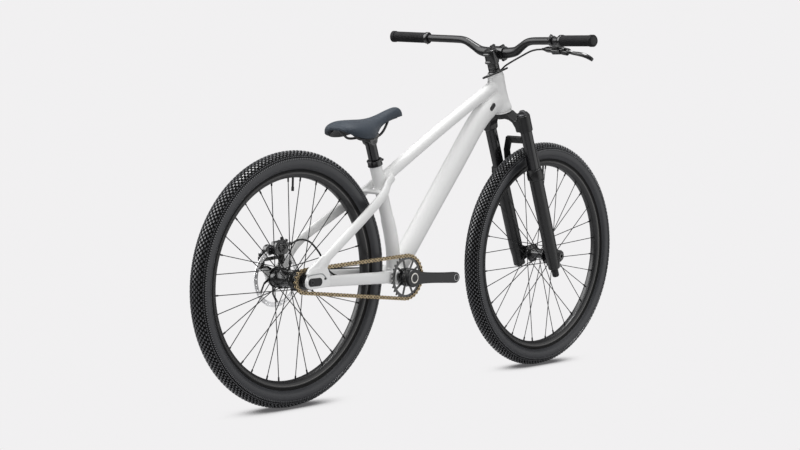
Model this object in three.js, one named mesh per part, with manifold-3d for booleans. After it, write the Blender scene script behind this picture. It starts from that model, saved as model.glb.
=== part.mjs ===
// Dirt jump bike: hardtail frame, air sprung fork, one gear, rear disc brake and 27.5 inch wheels.
// Millimetres. +X points to the front wheel, +Y to the rider's left and +Z up.
// The origin is on the ground, midway between the two axles and on the mid plane.

import * as THREE from 'three';
import { mergeVertices } from 'three/addons/utils/BufferGeometryUtils.js';
import Module from 'manifold-3d';

const wasm = await Module();
wasm.setup();

// Clearances shared by every piece
const gap = 0.3;
const runningGap = 0.5;
const weldGap = 0.8;
const cutRun = 3;
const mergeDistance = 0.001;

// Layout of the bike
const tyreToTyre = 382;
const tyreToBracket = 58.4;
const bottomBracketDrop = 18;
const headAngle = 69;
const forkOffset = 32;
const tyreToCrown = 138.6;
const lowerCupHeight = 6.3;
const headTubeLength = 108;

// Tyres, rims and inner tubes
const tyreRadius = 344;
const tyreWidth = 53;
const treadThickness = 5.5;
const sidewallThickness = 2.5;
const beadThickness = 6;
const beadSeatRadius = 292;
const sidewallTurn = 132;
const rimFlangeRadius = 298;
const rimFlangeThickness = 2.5;
const rimWidth = 30;
const rimInnerRadius = 272;
const rimInnerWidth = 16;
const rimWall = 2.6;
const tubeRadius = 14;
const tubeWall = 1.2;
const valveRadius = 3;
const valveBoreRadius = 1.2;
const valveLength = 34;
const wheelSegments = 22;
const tyreSteps = 6;
const tyreInnerSteps = 3;
const cavityTurn = 100;
const tubeSegments = 12;
const tubeSides = 5;

// Hubs, axles and spokes
const spokeCount = 32;
const spokeRadius = 0.95;
const spokeSides = 3;
const spokeCross = 3;
const rearSpokeTurn = 1.12;
const frontSpokeTurn = -1.87;
const spokeHeadOffset = 1.1;
const flangeRadius = 28;
const flangeThickness = 4.4;
const spokeHoleInset = 3;
const frontAxleRadius = 7.5;
const frontHubWidth = 100;
const frontFlangeSpacing = 58;
const frontShellRadius = 15;
const frontCapRadius = 11;
const rearAxleRadius = 6;
const rearHubWidth = 142;
const rearFlangeRight = 21;
const rearFlangeLeft = 34.5;
const rearShellRadius = 20;
const rearCapRadius = 11;
const axleHeadRadius = 10.5;
const axleHeadLength = 4;
const axleSpacerLength = 5;
const rotorSeatRadius = 25;
const rotorSpigotRadius = 21.5;
const rotorSpigotLength = 4;
const hubSegments = 10;
const roundSides = 12;

// Disc brake
const rotorRadius = 80;
const rotorBandWidth = 14;
const rotorThickness = 1.8;
const rotorOffset = 56;
const rotorArmCount = 6;
const rotorArmWidth = 7;
const rotorCarrierRadius = 30;
const rotorSegments = 18;
const carrierSegments = 10;
const padThickness = 3.6;
const padLength = 26;
const padDepth = 17;
const padGap = 0.6;
const padTravel = 0.5;
const caliperLength = 84;
const caliperWidth = 25;
const caliperDrop = 19;
const caliperRise = 15;
const caliperBridge = 7;
const caliperEarThickness = 9;
const caliperTilt = 4;
const brakeBoltSpacing = 74;
const brakePostRadius = 6.5;
const brakePostHeight = 22;
const brakeMountOffset = 72;
const caliperBoltHeadRadius = 4.6;
const caliperBoltHeadHeight = 5;

// Drivetrain
const chainPitch = 12.7;
const chainArcSteps = 5;
const ringTeeth = 30;
const cogTeeth = 15;
const chainline = 52;
const chainPlateHeight = 8.6;
const chainPlateThickness = 1.7;
const chainInnerWidth = 3.4;
const chainPinRadius = 3.4;
const chainPinSides = 4;
const chainPinSpacing = 5;
const toothThickness = 2.8;
const toothRootDepth = 3.7;
const toothTipHeight = 2.6;
const ringBandDepth = 5.5;
const ringSegments = 16;
const ringHubRadius = 24;
const ringArmPairs = 4;
const ringArmWidth = 5.2;
const ringArmSpread = 22;
const freehubRadius = 15.5;
const freehubLength = 30;
const spindleRadius = 12;
const crankLength = 170;
const crankDrop = 3.4;
const crankOuterFace = 81.5;
const pedalFace = 90;
const crankRootWidth = 38;
const crankMidWidth = 30;
const crankEndWidth = 31;
const crankRootThickness = 15;
const crankEndThickness = 13;
const crankBossRadius = 26.5;
const crankBossLength = 32;
const crankNeckRadius = 18.6;
const spindleRingRadius = 15;
const spindleRingHeight = 1.5;
const pedalHoleRadius = 7;
const bracketCupRadius = 21.6;
const bracketCupFlange = 24.5;
const bracketCupLength = 12;
const bracketCupFlangeWidth = 8;
const bracketSleeveRadius = 14;

// Frame
const frameWall = 2.4;
const mainTubeSides = 10;
const seatTubeSides = 10;
const staySides = 8;
const bracketShellWidth = 73;
const bracketShellRadius = 25.5;
const bracketShellWall = 3.4;
const headTubeTopRadius = 25;
const headTubeWaistRadius = 23.5;
const headTubeLowRadius = 28;
const headCupRadius = 21.6;
const topTubeWidth = 31;
const topTubeDepth = 33;
const topTubeHeadDrop = 22.5;
const topTubeSeatDrop = 65;
const topTubeArch = 4;
const downTubeLowWidth = 44;
const downTubeLowDepth = 58;
const downTubeWidth = 46;
const downTubeDepth = 63;
const downTubeHeadWidth = 42;
const downTubeHeadDepth = 60;
const downTubeHeadRise = 38;
const downTubeBendShare = 0.80743;
const downTubeBow = 29.3;
const downTubeShares = [0, 0.42, 0.75, 1];
const seatTubeRadius = 17.5;
const seatTubeLowRadius = 19.5;
const seatTubeWall = 1.75;
const seatTubeKneeBack = 29;
const seatTubeKneeRise = 158;
const seatTubeFootBack = 3;
const seatTubeFootRise = 60;
const seatTubeUpperLength = 179.8;
const seatTubeAngle = 70.2;
const chainstayStart = 15;
const chainstayRootSpread = 24;
const chainstayMidSpread = 43;
const chainstayMidShare = 0.235;
const chainstayRearSpread = 55;
const chainstayRearShare = 0.56;
const chainstayEndSpread = 72;
const chainstayEndShare = 0.9;
const chainstayRootDepth = 36;
const chainstayEndDepth = 29;
const chainstayRootWidth = 20;
const chainstayMidWidth = 14;
const chainstayEndWidth = 13;
const seatstayRise = 262;
const seatstayForwardShares = [0.9269, 0.8524, 0.7604, 0.5268, 0.25, 0.1205, 0.0631];
const seatstayRiseShares = [1, 0.9389, 0.8129, 0.5994, 0.3468, 0.1966, 0.0641];
const seatstaySpreadShares = [0.2148, 0.3624, 0.5503, 0.7919, 0.9933, 1.0067, 1];
const seatstayDipRow = 5;
const seatstayBrakeDip = 19;
const seatstayEndSpread = 74.5;
const seatstayWidth = 15;
const seatstayWidthShares = [0.8, 0.8, 1, 1, 1, 0.8, 0.667];
const seatstayDepth = 30;
const seatstayDepthShares = [0.833, 0.833, 0.933, 1, 1, 0.967, 0.867];
const stayWall = 2.4;
const bridgeDrop = 94;
const bridgeBack = 30;
const bridgeDepth = 13;
const bridgeLength = 24;
const bridgeReach = 38;
const dropoutThickness = 9;
const dropoutRadius = 19;
const dropoutFlareShares = [[3.2, 1.7], [2.5, 2.1], [0.2, 1.8], [-0.47, 1.37]];
const postWebRise = 38;
const dropoutTail = 70;
const dropoutTailDepth = 15;
const insertWidth = 50;
const insertHeight = 21;
const insertForward = 13;
const insertDepth = 2.5;
const insertFlange = 1.2;
const portPlugLength = 27;
const portPlugWidth = 13;
const portPlugRise = 26;
const portPlugBack = 60.8;
const portPlugLean = 46;
const portPlugProud = 1.6;
const collarHeight = 15;
const collarSides = 18;
const collarThickness = 3.4;
const collarLip = 2;
const collarLugLength = 13;
const collarLugWidth = 12;
const collarSlot = 2;

// Saddle and seatpost
const seatpostRadius = 15.45;
const seatpostWall = 2.2;
const seatpostExposed = 59;
const seatpostInserted = 130;
const seatpostDrop = 30;
const seatpostHeadRadius = 17;
const seatpostHeadHeight = 12;
const saddleLength = 262;
const saddleWidth = 140;
const saddleNoseWidth = 38;
const saddleTilt = 8;
const saddleBack = 132;
const saddleRise = 17;
const saddleShell = 2.6;
const saddleStations = [0, 0.03, 0.1, 0.2, 0.32, 0.44, 0.56, 0.68, 0.8, 0.91, 0.97, 1];
const saddleWidthShares = [0.42, 0.7, 0.9, 1, 0.93, 0.7, 0.47, 0.35, 0.3, 0.27, 0.2, 0.09];
const saddleCrownShares = [0.56, 0.72, 0.8, 0.78, 0.73, 0.68, 0.68, 0.75, 0.85, 0.9, 0.82, 0.6];
const saddleSkirtShares = [0.46, 0.32, 0.16, 0.04, 0, 0.1, 0.28, 0.4, 0.47, 0.5, 0.5, 0.52];
const saddleCrownHeight = 66;
const saddleSides = 20;
const saddleBaseSides = 8;
const coverThickness = 9;
const railRadius = 3.5;
const railSides = 6;
const railSteps = 26;
const railSpacing = 44;
const railLength = 186;
const railDrop = 7;
const railRear = 26;
const railFlat = 74;
const railNoseSpacing = 20;
const railRearRise = 33;
const railNoseRise = 42;
const clampLength = 32;
const clampWidth = 54;
const clampHeight = 18;

// Headset, stem and handlebar
const steererRadius = 14.3;
const steererWall = 2.3;
const cupInsertLength = 10;
const cupWall = 2;
const upperCupHeight = 4;
const coneHeight = 11;
const coneRadius = 24;
const spacerRadius = 17;
const spacerStack = 26;
const stemHeight = 38;
const stemReach = 33.5;
const stemClampRadius = 19.5;
const stemClampWidth = 36;
const barClampRadius = 20;
const barClampWidth = 52;
const faceplateGap = 1.5;
const faceplateBoltRadius = 4;
const faceplateBoltInset = 8;
const stemBoltRadius = 3.6;
const stemBoltOffset = 12;
const topCapRadius = 17.5;
const topCapHeight = 4;
const topCapBoltRadius = 5;
const topCapBoltHeight = 2.5;
const barRadius = 11.1;
const barClampedRadius = 15.9;
const barWall = 2.2;
const barLength = 768;
const barRise = 38.8;
const barBendForward = 2;
const barTipBack = 32;
const barTipRise = 16.6;
const barFlatHalf = 32;
const barRampStart = 44;
const barRampEnd = 132;
const barBendHalf = 144;
const barSides = 8;
const gripLength = 142;
const gripRadius = 15.6;
const gripFlangeRadius = 17;
const gripCollarLength = 15;
const gripEndThickness = 5;
const gripSides = 8;

// Brake lever and master cylinder
const leverToGrip = 24;
const leverDip = 63.4;
const leverClampWidth = 13;
const leverClampRadius = 15.5;
const masterReach = 36;
const masterInner = 58;
const masterOuter = 22;
const masterRadius = 9;
const masterNoseRadius = 5;
const masterNoseLength = 14;
const leverPivotReach = 44;
const leverPivotOut = 31;
const leverPinRadius = 2.5;
const leverPinLength = 19;
const leverEarThickness = 3;
const leverEarRadius = 7;
const leverBossHeight = 9;
const leverThickness = 6;
const leverWidth = 11;
const leverLength = 76;
const leverSweep = 16;
const leverHook = 5;
const leverShares = [0, 0.2, 0.5, 0.8, 1];
const leverSweepShares = [0, 0.35, 0.55, 0.8, 1];
const hoseRadius = 2.5;
const hoseChannelGap = 1.6;
const hoseSides = 5;
const hoseStepsEach = 1;

// Fork
const crownOffset = 6;
const legSpread = 68;
const stanchionRadius = 17.5;
const stanchionWall = 2;
const stanchionTop = 14;
const stanchionLength = 341;
const crownBottom = 67;
const crownSocketRadius = 21;
const crownTop = 6.8;
const crownShoulderDrop = 16;
const crownDepth = 36;
const crownBossRadius = 24;
const crownBossHeight = 22;
const crownDrop = 64;
const crownArchShares = [
  [0.5, 0.106], [1.05, 0.453], [1.4, 0.5], [1.4, 1], [1.04, 1], [1, 0.766], [0.84, 0.516], [0.6, 0.398],
  [0.27, 0.352],
];
const sealTop = 191.3;
const sealHeight = 9;
const sealRadius = 23.5;
const collarRadius = 24.5;
const lowerCollarHeight = 20;
const lowerRadius = 22.5;
const lowerTaperRadius = 21.2;
const lowerFootRadius = 18;
const lowerBottom = 519;
const lowerBoreEnd = 458;
const lowerBoreClearance = 1;
const reboundKnobRadius = 10.5;
const reboundKnobHeight = 24;
const rodRadius = 5;
const rodTop = 330;
const rodPistonRadius = 14;
const rodPistonHeight = 12;
const archFront = 44;
const archBack = 33.5;
const archOverTyre = 43;
const archDepth = 20;
const archShoulderDrop = 42;
const archHalf = 67;
const archShoulderHalf = 59;
const archTopHalf = 40;
const archFootHalf = 46;
const archInnerHalf = 29;
const archInnerShoulderHalf = 42;
const archFootHeight = 32;
const archFootBack = 20;
const lugRadius = 17;
const lugOuter = 80;
const capRadius = 13;
const capHeight = 4;
const capKnobRadius = 8;
const capKnobHeight = 7;

const rad = THREE.MathUtils.degToRad;
const at = (x, y, z) => new THREE.Vector3(x, y, z);
const leftward = at(0, 1, 0);
const upward = at(0, 0, 1);

// Places worked out from the driving dimensions
const wheelbase = 2 * tyreRadius + tyreToTyre;
const chainstayLength = tyreRadius + tyreToBracket;
const axleToCrown = tyreRadius + tyreToCrown;
const archTopLength = tyreRadius + archOverTyre;
const archInnerLength = archTopLength - archDepth;
const archShoulder = archTopLength - archShoulderDrop;
const leverClampPlace = barLength / 2 - gripLength - leverToGrip;
const rearAxle = at(-wheelbase / 2, 0, tyreRadius);
const frontAxle = at(wheelbase / 2, 0, tyreRadius);
const bracketForward = Math.sqrt(chainstayLength ** 2 - bottomBracketDrop ** 2);
const bracket = at(rearAxle.x + bracketForward, 0, rearAxle.z - bottomBracketDrop);
const headTilt = rad(90 - headAngle);
const steerUp = at(-Math.sin(headTilt), 0, Math.cos(headTilt));
const steerForward = at(Math.cos(headTilt), 0, Math.sin(headTilt));
const forkLength = axleToCrown + lowerCupHeight;
const headBase = frontAxle.clone().addScaledVector(steerForward, -forkOffset).addScaledVector(steerUp, forkLength);
const seatTilt = rad(90 - seatTubeAngle);
const seatUp = at(-Math.sin(seatTilt), 0, Math.cos(seatTilt));
const seatForward = at(Math.cos(seatTilt), 0, Math.sin(seatTilt));
const seatKnee = at(bracket.x - seatTubeKneeBack, 0, bracket.z + seatTubeKneeRise);
const seatTop = seatKnee.clone().addScaledVector(seatUp, seatTubeUpperLength);
const pitchRadius = (teeth) => chainPitch / (2 * Math.sin(Math.PI / teeth));
const ringPitchRadius = pitchRadius(ringTeeth);
const cogPitchRadius = pitchRadius(cogTeeth);
const dropoutInner = rearHubWidth / 2;
const dropoutOuter = dropoutInner + dropoutThickness;

// A place beside the steering axis, given in the bike's frame
function besideHead(forward, side, height) {
  return headBase.clone().addScaledVector(steerForward, forward).addScaledVector(steerUp, height).setY(side);
}

// Materials
const finish = (color, roughness, metalness) => new THREE.MeshStandardMaterial({ color, roughness, metalness });
const framePaint = finish(0xdcdfdd, 0.35, 0);
const blackMetal = finish(0x1d1d1f, 0.4, 0.6);
const blackSatin = finish(0x2a2a2c, 0.5, 0.2);
const rubber = finish(0x2e2e30, 0.85, 0);
const gripRubber = finish(0x252527, 0.8, 0);
const steel = finish(0xb4b4b6, 0.3, 1);
const spokeSteel = finish(0x232325, 0.35, 0.9);
const chainSteel = finish(0x7a6348, 0.45, 0.9);
const padMetal = finish(0x8a6a4a, 0.7, 0.5);
const saddleVinyl = finish(0x262932, 0.6, 0);
const darkPlastic = finish(0x1b1b1d, 0.6, 0);
const butyl = finish(0x141414, 0.9, 0);

// Triangles of a geometry without the empty ones, turned so that the body's volume is positive
function facingOut(geometry) {
  const place = geometry.attributes.position;
  const index = geometry.index.array;
  const corner = [at(0, 0, 0), at(0, 0, 0), at(0, 0, 0)];
  const kept = [];
  let volume = 0;
  for (let first = 0; first < index.length; first += 3) {
    const [a, b, c] = [index[first], index[first + 1], index[first + 2]];
    if (a === b || b === c || c === a) continue;
    corner.forEach((point, slot) => point.fromBufferAttribute(place, [a, b, c][slot]));
    volume += corner[0].dot(corner[1].cross(corner[2]));
    kept.push(a, b, c);
  }
  if (volume > 0) return new Uint32Array(kept);
  return new Uint32Array(kept.reverse());
}

// A closed geometry as a solid that can be cut and joined
function solid(geometry) {
  const bare = geometry.clone();
  bare.deleteAttribute('normal');
  bare.deleteAttribute('uv');
  const merged = mergeVertices(bare, mergeDistance);
  const vertProperties = new Float32Array(merged.attributes.position.array);
  const triVerts = facingOut(merged);
  return new wasm.Manifold(new wasm.Mesh({ numProp: 3, vertProperties, triVerts }));
}

const join = (first, ...others) => others.reduce((body, other) => body.add(other), first);
const cut = (body, ...tools) => tools.reduce((rest, tool) => rest.subtract(tool), body);

// A solid as a named mesh in a group
function addPiece(group, name, body, material) {
  const mesh = body.getMesh();
  const geometry = new THREE.BufferGeometry();
  geometry.setAttribute('position', new THREE.BufferAttribute(mesh.vertProperties, mesh.numProp));
  geometry.setIndex(new THREE.BufferAttribute(mesh.triVerts, 1));
  geometry.computeVertexNormals();
  const piece = new THREE.Mesh(geometry, material);
  piece.name = name;
  group.add(piece);
}

// A round bar between two points, with a second radius where it tapers
function rod(from, to, radius, sides = 10, endRadius = radius) {
  const along = to.clone().sub(from);
  const geometry = new THREE.CylinderGeometry(endRadius, radius, along.length(), sides);
  const turn = new THREE.Quaternion().setFromUnitVectors(leftward, along.clone().normalize());
  geometry.applyQuaternion(turn);
  const middle = from.clone().add(to).multiplyScalar(0.5);
  return solid(geometry.translate(middle.x, middle.y, middle.z));
}

// A body turned about the Y axis from rows of radius and place; a ring's profile closes on itself
function turnedAcross(profile, segments) {
  const onAxis = profile[0][0] === 0;
  const rows = onAxis ? profile : [...profile, profile[0]];
  const points = rows.map(([radius, place]) => new THREE.Vector2(radius, place));
  return solid(new THREE.LatheGeometry(points, segments));
}

// The same, turned about the Z axis
function turnedUpright(profile, segments) {
  const onAxis = profile[0][0] === 0;
  const rows = onAxis ? profile : [...profile, profile[0]];
  const points = rows.map(([radius, place]) => new THREE.Vector2(radius, place));
  return solid(new THREE.LatheGeometry(points, segments).rotateX(Math.PI / 2));
}

const sleeve = (inner, outer, low, high) => [[inner, low], [outer, low], [outer, high], [inner, high]];

function block(length, width, height, centre) {
  return solid(new THREE.BoxGeometry(length, width, height).translate(centre.x, centre.y, centre.z));
}

// A flat outline of X and Z places, given thickness along Y between two places
function plateAcross(shape, right, left, curveSegments = 6) {
  const geometry = new THREE.ExtrudeGeometry(shape, { depth: left - right, bevelEnabled: false, curveSegments });
  return solid(geometry.rotateX(Math.PI / 2).translate(0, left, 0));
}

// A flat outline of Y and Z places, given thickness along X between two places
function plateForward(shape, back, front) {
  const geometry = new THREE.ExtrudeGeometry(shape, { depth: front - back, bevelEnabled: false });
  return solid(geometry.rotateX(Math.PI / 2).rotateZ(Math.PI / 2).translate(back, 0, 0));
}

function outline(points) {
  return new THREE.Shape(points.map(([first, second]) => new THREE.Vector2(first, second)));
}

// A body through a row of rings; joined rings close on themselves, others end in flat caps
function skin(rings, joined) {
  const count = rings[0].length;
  const index = [];
  const bands = joined ? rings.length : rings.length - 1;
  for (let ring = 0; ring < bands; ring++) {
    const here = ring * count;
    const next = ((ring + 1) % rings.length) * count;
    for (let side = 0; side < count; side++) {
      const across = (side + 1) % count;
      index.push(here + side, next + side, next + across, here + side, next + across, here + across);
    }
  }
  const last = (rings.length - 1) * count;
  for (let side = 1; side < count - 1 && !joined; side++) {
    index.push(0, side, side + 1, last, last + side + 1, last + side);
  }
  const geometry = new THREE.BufferGeometry().setFromPoints(rings.flat());
  geometry.setIndex(index);
  return solid(geometry);
}

function oval(centre, across, over, halfWidth, halfDepth, sides) {
  const ring = [];
  for (let side = 0; side < sides; side++) {
    const angle = (side / sides) * 2 * Math.PI;
    const point = centre.clone().addScaledVector(across, halfWidth * Math.cos(angle));
    ring.push(point.addScaledVector(over, halfDepth * Math.sin(angle)));
  }
  return ring;
}

// Oval rings square to a row of stations, each with its place, width and depth
function ringsAlong(stations, sides, inset, reference) {
  return stations.map((station, place) => {
    const before = stations[Math.max(place - 1, 0)].at;
    const after = stations[Math.min(place + 1, stations.length - 1)].at;
    const along = after.clone().sub(before).normalize();
    const across = reference.clone().addScaledVector(along, -reference.dot(along)).normalize();
    const over = along.clone().cross(across);
    return oval(station.at, across, over, station.wide / 2 - inset, station.deep / 2 - inset, sides);
  });
}

function solidTube(stations, sides, reference = leftward) {
  return skin(ringsAlong(stations, sides, 0, reference), false);
}

function hollowTube(stations, wall, sides, reference = leftward) {
  const outer = ringsAlong(stations, sides, 0, reference);
  const inner = ringsAlong(stations, sides, wall, reference).reverse();
  return skin([...outer, ...inner], true);
}

function roundSection(radius, sides) {
  const points = [];
  for (let side = 0; side < sides; side++) {
    const angle = (side / sides) * 2 * Math.PI;
    points.push([radius * Math.cos(angle), radius * Math.sin(angle)]);
  }
  return outline(points);
}

// A round tube that follows a smooth curve through points
function cordAlong(points, radius, sides, steps) {
  const curve = new THREE.CatmullRomCurve3(points, false, 'centripetal');
  const section = roundSection(radius, sides);
  return solid(new THREE.ExtrudeGeometry(section, { steps, extrudePath: curve, bevelEnabled: false }));
}

const between = (first, second, share) => first + (second - first) * share;

// Tyre: a round carcass with a thicker tread, standing on two beads
function tyreBody() {
  const half = tyreWidth / 2;
  const centre = tyreRadius - half;
  const bead = rimWidth / 2 - rimFlangeThickness - gap;
  const seat = beadSeatRadius + gap;
  const lip = rimFlangeRadius + gap;
  const arc = (steps, turn, sideRadius, crownRadius) => {
    const rows = [];
    for (let step = 0; step <= steps; step++) {
      const angle = rad(between(-turn, turn, step / steps));
      const reach = Math.cos(angle) > 0 ? crownRadius : sideRadius;
      rows.push([centre + reach * Math.cos(angle), sideRadius * Math.sin(angle)]);
    }
    return rows;
  };
  const outer = arc(tyreSteps, sidewallTurn, half, half);
  const inner = arc(tyreInnerSteps, cavityTurn, half - sidewallThickness, half - treadThickness).reverse();
  const beadInner = bead - beadThickness;
  return turnedAcross([
    [seat, -bead], [lip, -bead], ...outer, [lip, bead], [seat, bead],
    [seat, beadInner], ...inner, [seat, -beadInner],
  ], wheelSegments);
}

const valveAngle = 0;
const valveReach = (radius) => at(radius * Math.sin(valveAngle), 0, radius * Math.cos(valveAngle));

// Rim: a hollow box under two flanges, open at the valve hole
function rimBody() {
  const half = rimWidth / 2;
  const flangeInner = half - rimFlangeThickness;
  const shoulder = half - rimFlangeThickness;
  const nose = rimInnerWidth / 2;
  const body = turnedAcross([
    [rimFlangeRadius, flangeInner], [rimFlangeRadius, half], [rimInnerRadius, nose], [rimInnerRadius, -nose],
    [rimFlangeRadius, -half], [rimFlangeRadius, -flangeInner], [beadSeatRadius, -flangeInner],
    [beadSeatRadius, flangeInner],
  ], wheelSegments);
  const channelTop = beadSeatRadius - rimWall;
  const channelLow = rimInnerRadius + rimWall;
  const channel = turnedAcross([
    [channelTop, shoulder - rimWall], [channelLow, 0], [channelTop, rimWall - shoulder],
  ], wheelSegments);
  const hole = rod(valveReach(rimInnerRadius - cutRun), valveReach(beadSeatRadius + cutRun), valveRadius + gap, 6);
  return cut(body, channel, hole);
}

// Inner tube with its valve stem, open along the valve's bore
function innerTubeBody() {
  const centre = tyreRadius - tyreWidth / 2;
  const circle = (radius) => {
    const rows = [];
    for (let side = 0; side < tubeSides; side++) {
      const angle = (side / tubeSides) * 2 * Math.PI;
      rows.push([centre + radius * Math.cos(angle), radius * Math.sin(angle)]);
    }
    return rows;
  };
  const wall = turnedAcross(circle(tubeRadius), tubeSegments);
  const air = turnedAcross(circle(tubeRadius - tubeWall), tubeSegments);
  const tip = rimInnerRadius - valveLength;
  const stem = rod(valveReach(tip), valveReach(centre - tubeRadius / 2), valveRadius, 6);
  const bore = rod(valveReach(tip - cutRun), valveReach(centre), valveBoreRadius, 4);
  return cut(join(wall, stem), air, bore);
}

// Spokes laced across each other, from the flanges to the rim's inner face
function spokes(flanges, turn) {
  const rows = [];
  const pitch = (2 * Math.PI) / spokeCount;
  const holeRadius = flangeRadius - spokeHoleInset;
  for (let spoke = 0; spoke < spokeCount; spoke++) {
    const flange = flanges[(spoke + 1) % 2];
    const leading = Math.floor(spoke / 2) % 2 ? -1 : 1;
    const rimAngle = (spoke + 0.5) * pitch + rad(turn);
    const hubAngle = rimAngle + leading * spokeCross * 2 * pitch;
    const head = at(holeRadius * Math.sin(hubAngle), flange + leading * spokeHeadOffset, holeRadius * Math.cos(hubAngle));
    const reach = rimInnerRadius * Math.cos(Math.PI / wheelSegments) - gap;
    const side = Math.sign(flange) * rimInnerWidth / 4;
    const nipple = at(reach * Math.sin(rimAngle), side, reach * Math.cos(rimAngle));
    rows.push(rod(head, nipple, spokeRadius, spokeSides));
  }
  return rows;
}

const flangeRows = (place, shell) => [
  [shell, place - flangeThickness / 2 - gap], [flangeRadius, place - flangeThickness / 2],
  [flangeRadius, place + flangeThickness / 2], [shell, place + flangeThickness / 2 + gap],
];

function frontHubBody() {
  const half = frontHubWidth / 2;
  const bore = frontAxleRadius + runningGap;
  const flange = frontFlangeSpacing / 2;
  const capStart = flange + flangeThickness * 2;
  const shell = turnedAcross([
    [bore, -half], [frontCapRadius, -half], [frontCapRadius, -capStart],
    ...flangeRows(-flange, frontShellRadius), ...flangeRows(flange, frontShellRadius),
    [frontCapRadius, capStart], [frontCapRadius, half], [bore, half],
  ], hubSegments);
  return join(shell, ...spokes([-flange, flange], frontSpokeTurn));
}

function rearHubBody() {
  const bore = rearAxleRadius + runningGap;
  const right = -(rearFlangeRight + flangeThickness * 2);
  const left = dropoutInner - axleSpacerLength - gap;
  const seat = rotorOffset - rotorThickness / 2 - gap;
  const spigotEnd = seat + rotorSpigotLength;
  const shell = turnedAcross([
    [bore, right], [rearShellRadius, right],
    ...flangeRows(-rearFlangeRight, rearShellRadius), ...flangeRows(rearFlangeLeft, rearShellRadius),
    [rearShellRadius, seat - flangeThickness * 2], [rotorSeatRadius, seat - flangeThickness], [rotorSeatRadius, seat],
    [rotorSpigotRadius, seat], [rotorSpigotRadius, spigotEnd], [rearCapRadius, spigotEnd],
    [rearCapRadius, left], [bore, left],
  ], hubSegments);
  return join(shell, ...spokes([-rearFlangeRight, rearFlangeLeft], rearSpokeTurn));
}

// Rear axle with the two spacers that the hub and the freehub run between
function rearAxleBody() {
  const outer = dropoutOuter - insertDepth - gap;
  const spacerEnd = dropoutInner - gap;
  return turnedAcross([
    [0, -outer], [rearAxleRadius, -outer], [rearAxleRadius, -spacerEnd], [rearCapRadius, -spacerEnd],
    [rearCapRadius, axleSpacerLength - spacerEnd], [rearAxleRadius, axleSpacerLength - spacerEnd],
    [rearAxleRadius, spacerEnd - axleSpacerLength], [rearCapRadius, spacerEnd - axleSpacerLength],
    [rearCapRadius, spacerEnd], [rearAxleRadius, spacerEnd], [rearAxleRadius, dropoutOuter + gap],
    [axleHeadRadius, dropoutOuter + gap], [axleHeadRadius, dropoutOuter + axleHeadLength],
    [0, dropoutOuter + axleHeadLength],
  ], hubSegments);
}

function frontAxleBody() {
  const right = lugOuter + axleHeadLength;
  const left = lugOuter - axleHeadLength;
  return turnedAcross([
    [0, -right], [axleHeadRadius, -right], [axleHeadRadius, -lugOuter - gap],
    [frontAxleRadius, -lugOuter - gap], [frontAxleRadius, left], [0, left],
  ], hubSegments);
}

function rotorBody() {
  const low = rotorOffset - rotorThickness / 2;
  const high = rotorOffset + rotorThickness / 2;
  const bandInner = rotorRadius - rotorBandWidth;
  const band = turnedAcross(sleeve(bandInner, rotorRadius, low, high), rotorSegments);
  const carrier = turnedAcross(sleeve(rotorSpigotRadius + gap, rotorCarrierRadius, low, high), carrierSegments);
  const arms = [];
  for (let arm = 0; arm < rotorArmCount; arm++) {
    const angle = (arm / rotorArmCount) * 2 * Math.PI;
    const lag = angle + Math.PI / rotorArmCount;
    const inner = rotorCarrierRadius - rotorArmWidth / 2;
    const outer = bandInner + rotorArmWidth / 2;
    const from = at(inner * Math.sin(angle), low, inner * Math.cos(angle));
    const to = at(outer * Math.sin(lag), low, outer * Math.cos(lag));
    const side = to.clone().sub(from).cross(leftward).setLength(rotorArmWidth / 2);
    const corners = [from.clone().add(side), to.clone().add(side), to.clone().sub(side), from.clone().sub(side)];
    arms.push(plateAcross(outline(corners.map((corner) => [corner.x, corner.z])), low, high));
  }
  return join(band, carrier, ...arms);
}

// A toothed outline, with its teeth coming to a point
function toothedShape(teeth) {
  const radius = pitchRadius(teeth);
  const root = radius - toothRootDepth;
  const tip = radius + toothTipHeight;
  const profile = [[root, -0.5], [tip, 0]];
  const points = [];
  for (let tooth = 0; tooth < teeth; tooth++) {
    profile.forEach(([reach, share]) => {
      const angle = ((tooth + share) / teeth) * 2 * Math.PI;
      points.push([reach * Math.cos(angle), reach * Math.sin(angle)]);
    });
  }
  return outline(points);
}

function ringHole(radius, sides) {
  const hole = new THREE.Path();
  for (let side = 0; side < sides; side++) {
    const angle = (side / sides) * 2 * Math.PI;
    if (side === 0) hole.moveTo(radius, 0);
    else hole.lineTo(radius * Math.cos(angle), radius * Math.sin(angle));
  }
  return hole;
}

// Chainring: a toothed band on pairs of arms
function chainringBody() {
  const bandInner = ringPitchRadius - toothRootDepth - ringBandDepth;
  const right = -chainline - toothThickness / 2;
  const left = -chainline + toothThickness / 2;
  const toothed = toothedShape(ringTeeth);
  toothed.holes.push(ringHole(bandInner, ringSegments));
  const band = plateAcross(toothed, right, left);
  const centre = turnedAcross(sleeve(crankNeckRadius + weldGap, ringHubRadius, right, left), roundSides);
  const arms = [];
  for (let arm = 0; arm < ringArmPairs * 2; arm++) {
    const pairAngle = (Math.floor(arm / 2) + 0.5) * (2 * Math.PI / ringArmPairs);
    const lean = rad(ringArmSpread) * (arm % 2 ? 1 : -1);
    const inner = at(Math.cos(pairAngle + lean), 0, Math.sin(pairAngle + lean));
    const outer = at(Math.cos(pairAngle + lean / 2), 0, Math.sin(pairAngle + lean / 2));
    inner.multiplyScalar(ringHubRadius - ringArmWidth / 2);
    outer.multiplyScalar(bandInner + ringBandDepth / 2);
    const side = outer.clone().sub(inner).cross(leftward).setLength(ringArmWidth / 2);
    const corners = [inner.clone().add(side), outer.clone().add(side), outer.clone().sub(side), inner.clone().sub(side)];
    arms.push(plateAcross(outline(corners.map((corner) => [corner.x, corner.z])), right, left));
  }
  return join(band, centre, ...arms);
}

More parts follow.
